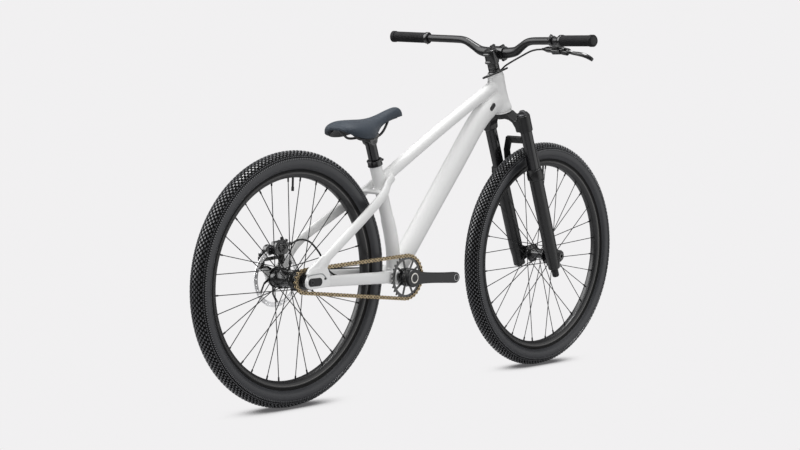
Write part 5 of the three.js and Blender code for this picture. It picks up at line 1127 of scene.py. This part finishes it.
def add_saddle_base():
    """A thin tray under the cover."""
    rings = []
    for ring in saddle_rings(5.0)[10:-10]:
        top = ring[24:] + ring[:1]
        upper = [(x, y * 0.97, z - 0.3) for x, y, z in top]
        lower = [(x, y * 0.97, z - 2.8) for x, y, z in reversed(top)]
        rings.append(upper + lower)
    stand("saddle_tray", Shape(SADDLE_BACK).add(loft(rings)), PLASTIC, "seat", ["saddle_base"],
          angle=60)


def add_saddle_rails():
    rails = Shape(SADDLE_BACK).add(sweep(smooth_rows(rail_points(), 6), 3.5, 16, (0, 0, 1)))
    stand("rail_wire", rails, DARK_STEEL, "seat", ["saddle_rails"])


def add_rail_clamp():
    clamp = Shape(SADDLE)
    lower = [(-15, -18), (-9, -24), (9, -24), (15, -18), (15, 18), (9, 24), (-9, 24), (-15, 18)]
    upper = [(-16, -20), (-10, -27), (10, -27), (16, -20), (16, 20), (10, 27), (-10, 27), (-16, 20)]
    clamp.add(plate(lower, 4.5, 9.5, "z"))
    clamp.add(plate(upper, 10.8, 18.5, "z"))
    clamp.add(sweep([(0, -16, 1), (0, 16, 1)], 15, 24, (1, 0, 0)))
    for forward in (-11, 11):
        clamp.add(screw_head((forward, 0, 18.5), (0, 0, 1), 4, 3))
        clamp.add(rod((forward, 0, -6), (forward, 0, 19), 2.4, 12))
    stand("saddle_clamp", clamp, ALLOY, "seat", ["rail_clamp"], bevel=0.8)


# Headset

def add_headset_cups():
    low = [(15, -0.4), (27.6, -0.4), (27.9, -2), (27.4, -5), (26, -5.7), (15, -5.7)]
    top = [(19, 108.3), (23.6, 108.3), (23.8, 113), (23.2, 117.6), (21.5, 118.4), (19, 118.4)]
    for name, rows, cup in (("cup_low", low, "headset_cup_lower"), ("cup_top", top, "headset_cup_upper")):
        stand(name, Shape(STEER).add(turned(rows, 64, "z")), PAINT, "frame", [cup], angle=30)


def add_spacers():
    """The cone over the upper cup and three rings under the stem."""
    stack = Shape(STEER)
    stack.add(turned([(14.6, 112.4), (18.6, 112.4), (18.6, 118.8), (20.2, 119), (20.4, 120.2),
                      (18.4, 121.4), (17.4, 123.2), (14.6, 123.2)], 64, "z"))
    for base, top in ((123.5, 128.4), (128.6, 138.6), (138.8, 148.6)):
        stack.add(turned([(14.6, base), (16.6, base), (17, base + 0.5), (17, top - 0.5), (16.6, top),
                          (14.6, top)], 64, "z"))
    stand("spacer_stack", stack, ALLOY, "steering", ["headset_spacers"], angle=30)


# Stem

STEM_MID = 168.0
STEM_REACH = 33.5
STEM_BOLTS = [(side * 18, STEM_MID + height * 19.5) for side in (-1, 1) for height in (-1, 1)]


def clamp_band(start, span, sides=24):
    """A curved strip of the handlebar's clamp, from the start angle on, in degrees."""
    outer, inner = (circle((STEM_REACH, STEM_MID), radius, sides, math.radians(start), math.radians(span))
                    for radius in (20, 16.2))
    return outer + inner[::-1]


def add_stem_body():
    """A sleeve on the steerer, a neck and the rear half of the handlebar's clamp."""
    stem = Shape(STEER)
    stem.add(turned([(14.6, 149.3), (19.5, 149.3), (19.8, 150.5), (19.8, 185.5), (19.5, 186.7),
                     (14.6, 186.7)], 64, "z"))
    neck = [(8, 17, 15.5), (16, 15.5, 14), (24, 18, 14.5), (31, 23, 17)]
    stem.add(sweep([(row[0], 0, STEM_MID) for row in neck], [row[1:] for row in neck], 32, power=3.5))
    stem.add(plate(clamp_band(80, 200), -26, 26))
    for height in (-12, 12):
        low, high = (-19, -9.5, STEM_MID + height), (-19, 9.5, STEM_MID + height)
        stem.add(rod(low, high, 4.6, 20))
        stem.add(screw_head(low, (0, -1, 0), 3.6, 2.0))
    for across, height in STEM_BOLTS:
        stem.add(rod((STEM_REACH - 7, across, height), (STEM_REACH - 0.6, across, height), 5, 16))
    stand("stem_forging", stem, ALLOY, "steering", ["stem"], bevel=0.7)


def add_faceplate():
    """Two bands across the handlebar, joined above and below a window, with four bolts."""
    face = Shape(STEER)
    for low, high in ((-26, -10), (10, 26)):
        face.add(plate(clamp_band(-78, 156), low, high))
    for start in (-78, 42):
        face.add(plate(clamp_band(start, 36, 8), -11, 11))
    for across, height in STEM_BOLTS:
        face.add(rod((STEM_REACH + 0.6, across, height), (STEM_REACH + 9, across, height), 5, 16))
        face.add(screw_head((STEM_REACH + 9, across, height), (1, 0, 0), 3.6, 2.2))
    stand("stem_face", face, ALLOY, "steering", ["stem_faceplate"], bevel=0.6)


def add_top_cap():
    cap = Shape(STEER)
    cap.add(turned([(POINT, 187.2), (17.2, 187.2), (17.5, 188), (17.2, 189.6), (14.5, 191), (6, 191.4),
                    (5.6, 190.2), (POINT, 190.2)], 48, "z"))
    cap.add(screw_head((0, 0, 190.2), (0, 0, 1), 5, 3))
    stand("steerer_cap", cap, ALLOY, "steering", ["top_cap"], angle=30)


# Handlebar and grips

BAR_BEND = np.array([35.5, 144.0, 206.8])
BAR_TIP = np.array([3.5, 384.0, 223.4])
GRIP_END = 383.0


def bar_place(distance):
    """A place on the bar's straight end, by its distance across the bike; negative is on the right."""
    flip = np.array([1, math.copysign(1, distance), 1])
    share = (abs(distance) - BAR_BEND[1]) / (BAR_TIP[1] - BAR_BEND[1])
    return (BAR_BEND + (BAR_TIP - BAR_BEND) * share) * flip


def add_bar():
    half = [(33.5, 0, 168, 15.9), (33.5, 26, 168, 15.9), (33.6, 36, 168.4, 15.7), (34.0, 66, 173.4, 14.0),
            (34.5, 88, 185.8, 12.1), (35.06, 112.6, 200.2, 11.3), (35.5, 132, 205.6, 11.1),
            (33.6, 158.4, 207.8, 11.1), (28, 200, 210.7, 11.1), (4.4, 377, 222.9, 11.1)]
    fine = smooth_rows(half, 6)
    rows = np.vstack([fine[::-1][:-1] * np.array([1, -1, 1, 1]), fine])
    bar = Shape(STEER).add(sweep(rows[:, :3], rows[:, 3], 32, (0, 0, 1)))
    stand("riser_bar", bar, SATIN, "steering", ["handlebar"], angle=40)


def grip_rows():
    """Places along the bar and radii of one grip, from its collar to its end."""
    rows = [(249, 15.2), (250, 16.4), (258, 16.4), (259, 15.4)]
    place = 260.0
    while place < 368:
        rows += [(place, 15.3), (place + 0.5, 15.8), (place + 2.1, 15.8), (place + 2.6, 15.3)]
        place += 3.2
    return rows + [(370, 15.5), (371, 17.2), (GRIP_END - 2, 17.2), (GRIP_END - 0.4, 16), (GRIP_END, 12)]


def add_grip(side, name):
    tip = bar_place(side * BAR_TIP[1])
    along = tip - bar_place(side * BAR_BEND[1])
    along /= np.linalg.norm(along)

    def on_grip(rows, sides):
        """A tube round the bar from rows of place along it and radius."""
        places, radii = zip(*rows)
        return sweep([tip + along * (place - BAR_TIP[1]) for place in places], radii, sides, (0, 0, 1))

    grip = Shape(STEER).add(on_grip(grip_rows(), 40))
    stand(f"grip_sleeve_{name}", grip, GRIP, "steering", [f"grip_{name}"], angle=50)
    plug = Shape(STEER).add(on_grip([(GRIP_END - 1, 13), (GRIP_END, 12.6), (GRIP_END + 0.7, 11)], 32))
    stand(f"grip_plug_{name}", plug, PLASTIC, "steering", angle=30)
    clamp = Shape(STEER).add(on_grip([(249.5, 16.8), (250.5, 17.5), (259, 17.5), (260, 16.8)], 40))
    bolt = tip + along * (254.7 - BAR_TIP[1]) + np.array([0, 0, -15.5])
    clamp.add(rod(bolt + np.array([-6, 0, 0]), bolt + np.array([6, 0, 0]), 3.2, 14))
    stand(f"grip_clamp_{name}", clamp, ALLOY, "steering", angle=40)


# Brake lever, in a frame of its own: X away from the bar, Y to the grip's end, Z along its hinge

LEVER_HINGE = (44, 31, 0)


def lever_frame():
    """The lever's frame, at the middle of its clamp on the bar."""
    away = np.array([math.cos(LEVER_DIP), 0, -math.sin(LEVER_DIP)])
    out = np.array([0, -1.0, 0])
    place = moved(bar_place(-218))
    place[:3, :3] = np.array([away, out, np.cross(away, out)]).T
    return STEER @ place


def add_master_cylinder():
    place = lever_frame()
    master = Shape(place)
    master.add(sweep([(36, -57, 0), (36, -50, 0), (36, -44, 0), (36.5, -36, 0), (37, -10, 0), (38, 16, 0),
                      (39, 23, 0)], [3.4, 4.2, 6.6, 8.8, 9.8, 9.8, 8.0], 24, (1, 0, 0)))
    master.add(sweep([(36, -14, 8), (36, 14, 8)], [(9, 7), (8, 6)], 20, (1, 0, 0), 3))
    back = np.linalg.inv(place) @ STEER
    near, far = ((back @ np.append(bar_place(-distance), 1))[:3] for distance in (211.5, 224.5))
    collar = [near + (far - near) * share for share in (0, 0.08, 0.92, 1)]
    master.add(sweep(collar, [14.2, 15, 15, 14.2], 40, (0, 0, 1)))
    master.add(box((18, 0, 0), (30, 12, 12)))
    master.add(rod((-15, 0, -9), (-15, 0, 9), 4.2, 16))
    master.add(screw_head((-15, 0, 9), (0, 0, 1), 3.4, 2.4))
    ear = [(38, 8), (48, 12), (52, 31), (49, 37), (44, 39), (40, 37), (36.5, 31), (33, 16)]
    for height in (-6.6, 6.6):
        master.add(plate(ear, height - 1.8, height + 1.8, "z"))
    stand("master_cylinder", master, ALLOY, "steering", ["brake_master"], bevel=0.6)


def add_lever():
    place = lever_frame()
    blade = [(44, 27, 0, 4.6, 6.0), (45.5, 38, 0, 4.8, 5.4), (48.5, 46.2, 0, 5.2, 4.4),
             (50.5, 56, 0, 5.6, 4.2), (52.5, 68, 0, 6.2, 4.6), (56, 81, 0, 6.4, 4.8), (62, 92, 0, 6.4, 4.6),
             (70.5, 100.5, 0, 6.0, 4.0), (76.5, 104, 0, 4.8, 3.2)]
    rows = smooth_rows(blade, 6)
    lever = Shape(place)
    lever.add(sweep(rows[:, :3], [(row[3], row[4]) for row in rows], 20, (0, 0, 1), 2.8))
    boss = [(2.9, -4.6), (6.6, -4.6), (6.6, 4.6), (2.9, 4.6)]
    lever.add(turned(boss, 24, "z"), place @ moved(LEVER_HINGE))
    stand("lever_blade", lever, ALLOY, "lever", ["brake_lever"], bevel=0.4)
    pin = Shape(place @ moved(LEVER_HINGE))
    pin.add(rod((0, 0, -9.4), (0, 0, 9.4), 2.5, 16))
    pin.add(screw_head((0, 0, 8.3), (0, 0, 1), 3.8, 1.4))
    stand("pivot_pin", pin, DARK_STEEL, "steering", ["lever_pin"])


# Brake hose: from the lever once round the steerer, through the frame, to the rear brake

HOSE_ROUTE = [
    (304, -158.5, 971), (304, -150, 970.5), (302.6, -140, 969.4), (300.5, -120, 964), (296, -88, 948),
    (297, -52, 931), (304, -26, 920), (314, -8, 912), (319, 4.8, 906), (312.8, 22.4, 897.3),
    (292, 32.8, 887.6), (272, 29, 882.7), (264.4, 24, 881.6), (257.4, 14.5, 882.6),
    (254.5, -4.8, 888.4), (263.5, -22.8, 897.3), (282, -32.4, 906.2), (303.6, -31.2, 912.4),
    (314.2, -24.5, 913.4), (320.5, -10.7, 910), (321, 6, 904), (312, 24, 894), (302, 32, 882),
    (296, 31.5, 860), (284, 29, 835), (270, 24, 812), (256, 16, 792), (222, 8, 756), (150, 7, 676),
    (60, 7, 564), (-20, 7, 464), (-72, 9, 398), (-104, 11.5, 360), (-119.6, 13.5, 340), (-132, 16, 338),
    (-150, 19.6, 330), (-178, 29, 328), (-200, 36.4, 329), (-230, 43, 330.3), (-285, 48, 332),
    (-313, 46.5, 334), (-325, 42.5, 336.5), (-336, 40.5, 341), (-346, 43.5, 349), (-354, 49.5, 362),
    (-368, 51, 386), (-386, 48.5, 406), (-414, 47.5, 430), (-440, 47.5, 440), (-462, 48, 441),
    (-478, 49, 436), (-489, 50, 429),
]


def add_hose():
    hose = Shape().add(sweep(smooth_rows(HOSE_ROUTE, 6), 2.6, 12, (0.3, 0.4, 0.86)))
    piece = stand("brake_line", hose, HOSE, None, angle=60)
    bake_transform(piece)
    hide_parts("brake_hose")


# Fork crown and stanchions

LEG_X, LEG_Y = 6.0, 68.0
AXLE_DROP = 488.9


def leg_place(side):
    """The frame of one fork leg, level with the head tube's lower end."""
    return STEER @ moved((LEG_X, side * LEG_Y, 0))


def crown_outline():
    """The crown's front: a flat bridge between two sockets."""
    inner = LEG_Y - 21
    rows = [(0.5, 6.8), (1.05, 29), (1.4, 32), (1.4, 64), (1.04, 64), (1.0, 49), (0.84, 33), (0.6, 25.5),
            (0.27, 22.5)]
    left = [(inner * share, -drop) for share, drop in rows]
    return left + mirrored(left, first=-1)


def add_crown():
    crown = Shape(STEER)
    crown.add(plate(crown_outline(), LEG_X - 22.5, LEG_X + 13.5, "x"))
    crown.add(rod((0, 0, -22), (0, 0, -6.8), 24, 48))
    socket = [(POINT, -67), (20.4, -67), (21, -66), (21, -19), (20, -16), (POINT, -16)]
    for side in (-1, 1):
        crown.add(turned(socket, 48, "z"), leg_place(side))
    piece = blended("crown_forging", crown, SATIN, voxel=1.1, rounds=6)
    settle(piece, "steering", ["fork_crown"])
    steerer = Shape(STEER).add(rod((0, 0, -8), (0, 0, 186), 14.3, 32))
    stand("steerer", steerer, ALLOY, "steering")


def leg_cap(side):
    """The dial on top of one leg, with six notches."""
    cap = Shape(leg_place(side))
    cap.add(turned([(POINT, -13.6), (17.6, -13.6), (17.6, -12.4), (15.5, -9.8), (13, -9.4), (9, -9),
                    (8.4, -3.2), (7.4, -2.7), (POINT, -2.7)], 48, "z"))
    for notch in range(6):
        angle = TAU * notch / 6
        cap.add(box((*polar(13.4, angle), -9.6), (2.2, 3.4, 1.2), angle, "z"))
    return cap


def add_upper_legs():
    tube = [(15, -355), (17.5, -355), (17.5, -14), (15, -14)]
    shaft = [(POINT, -519.3), (5, -519.3), (5, -330), (14, -330), (14, -318), (POINT, -318)]
    for side, name, surface, rod_node in ((-1, "right", CAP_GREY, "damper_rod"),
                                          (1, "left", DARK_STEEL, "air_rod")):
        place = leg_place(side)
        stand(f"upper_tube_{name}", Shape(place).add(turned(tube, 64, "z")), GLOSS, "steering",
              [f"stanchion_{name}"], angle=30)
        stand(f"top_adjuster_{name}", leg_cap(side), surface, "steering", [f"leg_cap_{name}"],
              angle=30)
        stand(f"inner_shaft_{name}", Shape(place).add(turned(shaft, 24, "z")), STEEL, "fork_sliders",
              [rod_node], angle=30)


# Lower legs

def add_castings():
    leg = [(POINT, -519), (16.8, -519), (18, -517.5), (18, -489), (20.6, -458), (21, -223), (24.7, -220),
           (24.7, -202), (23.5, -200.2), (22.8, -192.5), (22, -191.3), (18.5, -191.3), (18.5, -240),
           (POINT, -240)]
    lug = [(-7, -17), (32, -17), (44, -12), (49, -3), (49, 6), (42, 15), (30, 22), (6, 40)]
    lug = [(forward, height - AXLE_DROP) for forward, height in lug]
    lowers = Shape(STEER)
    for side in (-1, 1):
        lowers.add(turned(leg, 64, "z"), leg_place(side))
        near, far = (50.4, 80) if side > 0 else (-80, -50.4)
        lowers.add(plate(lug, near, far))
    stand("lower_castings", lowers, MATTE, "fork_sliders", ["fork_lowers"], bevel=1.2)


def add_arch():
    """The arch over the tyre, hollow below, with a band of crossed ribs."""
    outer = [(67, -241), (64, -175), (59, 345 - AXLE_DROP), (52, 360 - AXLE_DROP), (40, 387 - AXLE_DROP)]
    inner = [(29, 367 - AXLE_DROP), (42, 339 - AXLE_DROP), (46, -200.3), (46, -241)]
    bow = outer + mirrored(outer, first=-1) + mirrored(inner, first=-1) + inner
    arch = Shape(STEER).add(plate(bow, 33.5, 44, "x"))
    for side in (-1, 1):
        arch.add(box((32, side * 56.5, -225), (24, 21, 32)))
    stand("lower_arch", arch, MATTE, "fork_sliders", bevel=1.6, segments=3)
    ribs = Shape(STEER)
    for i in range(5):
        lean = math.radians(35 if i % 2 else -35)
        ribs.add(box((33.2, -24 + 12 * i, 377 - AXLE_DROP), (2, 2.0, 16), lean, "x"))
    stand("arch_ribs", ribs, MATTE, "fork_sliders")


def add_seals():
    seals = Shape()
    lip = [(17.9, -191.2), (22.6, -191.2), (22.2, -189), (19.4, -187.6), (17.9, -187.6)]
    for side in (-1, 1):
        seals.add(turned(lip, 48, "z"), leg_place(side))
    stand("dust_seals", seals, PLASTIC, "fork_sliders", angle=30)


def add_knob():
    """The rebound dial with its grip notches, under the right leg."""
    rings = []
    for radius, height in ((POINT, -546), (8.8, -546), (9.8, -545), (10.5, -543.5), (10.5, -524),
                           (9.8, -522.6), (6, -522.4), (6, -519.2), (POINT, -519.2)):
        ring = []
        for i in range(48):
            grip = radius - (0.7 if i % 4 < 2 and radius > 9 else 0)
            ring.append((*polar(grip, TAU * i / 48), height))
        rings.append(ring)
    knob = Shape(leg_place(-1)).add(loft(rings))
    stand("rebound_dial", knob, PLASTIC, "fork_sliders", ["rebound_knob"], angle=30)


def add_foot_nut():
    foot = [(POINT, -519.2), (9, -519.2), (9, -523.5), (7.5, -525), (POINT, -525)]
    stand("foot_nut", Shape(leg_place(1)).add(turned(foot, 32, "z")), ALLOY, "fork_sliders", angle=30)


def add_front_axle():
    axle = [(POINT, 76), (7.4, 76), (7.4, -80.3), (10.5, -80.3), (10.5, -83), (9.6, -84), (5.2, -84),
            (5, -79), (POINT, -79)]
    stand("front_thru_axle", Shape(moved(FRONT)).add(turned(axle, 32)), ALLOY, "fork_sliders",
          ["front_axle"], angle=30)
    washer = [(10.5, -80.2), (14.5, -80.2), (14.5, -81.6), (10.5, -81.6)]
    stand("axle_washer", Shape(moved(FRONT)).add(turned(washer, 32)), DARK_STEEL, "fork_sliders", angle=30)


# Rear brake: bodies in a frame at the rear axle, tipped back with the caliper

BRAKE = moved(REAR) @ tilted((0, 0, 0), math.radians(4))
BOLT_REACH = 37


def add_caliper():
    """Two halves over the rotor, joined by a bridge, with a piston cap and two ears."""
    body = Shape(BRAKE)
    bulge = [(POINT, 55), (12.4, 55), (14.8, 57), (14.8, 69.5), (13, 72), (10.5, 72.6), (9.2, 71),
             (POINT, 71)]
    body.add(turned(bulge, 40), BRAKE @ moved((-19, 0, 76)))
    outer = [(-14, 64), (-10, 84), (-2, 92), (16, 93), (27, 88), (32, 76), (33, 63)]
    body.add(plate(outer, 58.5, 66))
    inner = [(-14, 64), (-14, 82), (-6, 96), (10, 101), (26, 97), (36, 86), (37, 70), (30, 61)]
    body.add(plate(inner, 42, 53.5))
    piston = BRAKE @ moved((12, 0, 80))
    body.add(turned([(6.5, 44), (12.8, 44), (12.8, 39.5), (11, 38), (8, 38), (6.5, 40)], 32), piston)
    body.add(turned([(POINT, 44), (6.5, 44), (6.5, 41), (POINT, 41)], 32), piston)
    body.add(plate([(-12, 86), (-8, 97), (22, 98), (28, 88)], 50, 62))
    ear = [(POINT, 61.2), (7.4, 61.2), (7.4, 69), (POINT, 69)]
    for forward in (-BOLT_REACH, BOLT_REACH):
        body.add(turned(ear, 24, "z"), BRAKE @ moved((forward, 72, 0)))
        body.add(box((forward * 0.86, 70, 66), (16, 8, 8)))
    stand("caliper_body", body, CALIPER, "frame", ["brake_caliper"], bevel=1.2)


def add_caliper_bolts():
    """The two mounting bolts with the pads' pin, and the two dark bolts on top."""
    bolts = Shape(BRAKE)
    for forward in (-BOLT_REACH, BOLT_REACH):
        bolts.add(screw_head((forward, 72, 69), (0, 0, 1), 4.8, 5))
    bolts.add(rod((-22, 56, 84), (22, 56, 84), 1.6, 10))
    stand("caliper_bolts", bolts, STEEL, "frame", angle=40)
    top = Shape(BRAKE)
    top.add(screw_head((16, 46, 100), (-0.1, -0.1, 1), 4.6, 8))
    top.add(screw_head((30, 46, 94), (0.45, -0.1, 0.88), 4.6, 7))
    stand("caliper_ports", top, ALLOY, "frame", angle=40)


def add_hose_fitting():
    fitting = Shape(BRAKE)
    banjo = [(POINT, 43.5), (6.2, 43.5), (6.2, 51), (POINT, 51)]
    fitting.add(turned(banjo, 24), BRAKE @ moved((40, 3, 84)))
    fitting.add(rod((40, 50, 84), (52, 50, 88), 3.6, 14))
    stand("hose_fitting", fitting, ALLOY, "frame", bevel=0.5)


def add_brake_posts():
    posts = Shape(BRAKE)
    for forward in (-BOLT_REACH, BOLT_REACH):
        posts.add(rod((forward, 72, 32), (forward, 72, 60.8), 7, 20))
        posts.add(box((forward, 72, 50), (15, 11, 20)))
    posts.add(box((-4, 72, 50), (60, 7, 9)))
    stand("mount_posts", posts, ALLOY, "frame", bevel=0.8)


def add_pads():
    for name, side in (("inner", -1), ("outer", 1)):
        pad = Shape(moved(REAR)).add(box((0, 56 + side * 3.3, 71.5), (26, 3.6, 17)))
        stand(f"pad_{name}", pad, PAD, f"pad_{name}", [f"brake_pad_{name}"], bevel=0.3)


# Ground: as pale as the backdrop, with a painted shadow only where something stands close above it

BACKDROP = (0.879, 0.872, 0.879, 1)
# The darkest tone of the painted contact shadow on the floor.
CONTACT_SHADOW = (0.11, 0.108, 0.112, 1)
BOUNCE = (0.42, 0.42, 0.43, 1)
GROUND_HALF = 6.0


def ground_seen(tree):
    """What the camera sees: the backdrop's tone, with a painted shadow under a contact from the ambient
    occlusion.
    """
    nearby = node(tree, "AmbientOcclusion", {"Distance": 0.2}, samples=24)
    tone = node(tree, "Mix", {"A": CONTACT_SHADOW, "B": BACKDROP}, data_type="RGBA")
    feed(tree, tone, {"Factor": ramp(tree, nearby.outputs["AO"], 0.34, 0.78, 0.0, 1.0)})
    return node(tree, "Emission", {"Color": tone.outputs["Result"]}).outputs["Emission"]


def ground_bounce(tree):
    """What lights the bike from below: a dull surface that fades out with distance."""
    shader = tree.nodes["Principled BSDF"]
    feed(tree, shader, {"Roughness": 0.95, "Specular IOR Level": 0.0, "Base Color": BOUNCE})
    place = node(tree, "TexCoord").outputs["Object"]
    reach = node(tree, "VectorMath", {0: place}, operation="LENGTH").outputs["Value"]
    clear = node(tree, "BsdfTransparent").outputs["BSDF"]
    mix = node(tree, "MixShader", {"Fac": ramp(tree, reach, 1.0, 2.2, 1.0, 0.0), 1: clear,
                                   2: shader.outputs["BSDF"]})
    return mix.outputs["Shader"]


def fading_ground():
    s = GROUND_HALF
    mesh = bpy.data.meshes.new("ground")
    mesh.from_pydata([(-s, -s, 0), (s, -s, 0), (s, s, 0), (-s, s, 0)], [], [(0, 1, 2, 3)])
    made = bpy.data.materials.new("ground")
    made.use_nodes = True
    tree = made.node_tree
    camera_ray = node(tree, "LightPath").outputs["Is Camera Ray"]
    whole = node(tree, "MixShader", {"Fac": camera_ray, 1: ground_bounce(tree), 2: ground_seen(tree)})
    feed(tree, tree.nodes["Material Output"], {"Surface": whole.outputs["Shader"]})
    mesh.materials.append(made)
    return linked("ground", mesh)


# Light: soft boxes as direction, cosines where each begins and is full, and brightness

DOME = 0.22
SOFT_BOXES = [((0, 0, 1), 0.45, 0.85, 0.40), ((-0.9, -0.55, 0.30), 0.78, 0.96, 1.0),
              ((0.35, -1.0, 0.20), 0.78, 0.96, 0.85), ((-0.5, 1.0, 0.4), 0.75, 0.95, 0.6)]

# What shiny surfaces mirror instead
GLOSS_DOME = 0.12
GLOSS_BOXES = [((0, 0, 1), 0.60, 0.90, 0.5), ((0.5, -0.87, 0.1), 0.72, 0.92, 1.05),
               ((-0.66, 0.5, 0.56), 0.74, 0.95, 4.2), ((-0.62, -0.25, 0.74), 0.955, 0.98, 2.6)]


def lobe(tree, direction, start, end, strength):
    """The brightness of one soft box of the studio, by the direction that a ray looks in."""
    place = node(tree, "TexCoord").outputs["Generated"]
    facing = node(tree, "VectorMath", {0: place, 1: Vector(direction).normalized()},
                  operation="DOT_PRODUCT")
    return ramp(tree, facing.outputs["Value"], start, end, 0.0, strength)


def box_total(tree, base, boxes):
    """The brightness of the whole studio: an even base and its soft boxes."""
    level = base
    for row in boxes:
        level = node(tree, "Math", {0: level, 1: lobe(tree, *row)}, operation="ADD").outputs[0]
    return level


def backdrop_world():
    """A plain backdrop for the camera, and the soft boxes for all that is lit or mirrors."""
    world = bpy.data.worlds.new("studio")
    bpy.context.scene.world = world
    world.use_nodes = True
    tree = world.node_tree
    seen = tree.nodes["Background"]
    feed(tree, seen, {"Color": BACKDROP, "Strength": 1.0})
    rays = node(tree, "LightPath").outputs
    level = node(tree, "Mix", {"Factor": rays["Is Glossy Ray"], "A": box_total(tree, DOME, SOFT_BOXES),
                               "B": box_total(tree, GLOSS_DOME, GLOSS_BOXES)}, data_type="FLOAT")
    lit = node(tree, "Background", {"Color": (1, 1, 1, 1), "Strength": level.outputs["Result"]})
    mix = node(tree, "MixShader", {"Fac": rays["Is Camera Ray"], 1: lit.outputs["Background"],
                                   2: seen.outputs["Background"]})
    feed(tree, tree.nodes["World Output"], {"Surface": mix.outputs["Shader"]})


def overhead_sun(strength, spread):
    """A wide lamp straight above, with its spread in degrees."""
    lamp = bpy.data.lights.new("overhead", "SUN")
    lamp.energy = strength
    lamp.angle = math.radians(spread)
    linked("overhead", lamp).location = (0, 0, 4)


# Camera, at the place that shows the bike as the photo does

def photo_camera():
    """The camera, from its right and its back direction and its place in metres."""
    lens = bpy.data.cameras.new("photo")
    lens.sensor_width = 36
    lens.lens = 81.88
    lens.clip_end = 50
    camera = linked("photo", lens)
    right = Vector((0.6754, -0.7369, 0.0276)).normalized()
    back = -Vector((0.7355, 0.6705, -0.0969))
    back = (back - right * back.dot(right)).normalized()
    up = back.cross(right)
    turn = Matrix((right, up, back)).transposed().to_4x4()
    camera.matrix_world = Matrix.Translation((-3.8861, -3.4423, 0.9644)) @ turn
    bpy.context.scene.camera = camera


# The whole bike, then its stage

add_wheel("rear", REAR, rear_hub(), REAR_FLANGES, turn=1.12)
add_wheel("front", FRONT, front_hub(), FRONT_FLANGES, turn=-1.87)
add_rotor()
add_cog()
add_chain()
add_crank_arms()
add_spindle()
add_chainring()
add_frame()
add_dropout_details()
add_port_plug()
add_bracket_cups()
add_rear_axle()
add_collar()
add_seatpost()
add_saddle_cover()
add_saddle_base()
add_saddle_rails()
add_rail_clamp()
add_headset_cups()
add_spacers()
add_stem_body()
add_faceplate()
add_top_cap()
add_bar()
for side, name in SIDES:
    add_grip(side, name)
add_master_cylinder()
add_lever()
add_hose()
add_crown()
add_upper_legs()
add_castings()
add_arch()
add_seals()
add_knob()
add_foot_nut()
add_front_axle()
add_caliper()
add_caliper_bolts()
add_hose_fitting()
add_brake_posts()
add_pads()

ground = fading_ground()
overhead_sun(strength=2.6, spread=26)
backdrop_world()
photo_camera()
bpy.context.scene.view_settings.view_transform = "Standard"
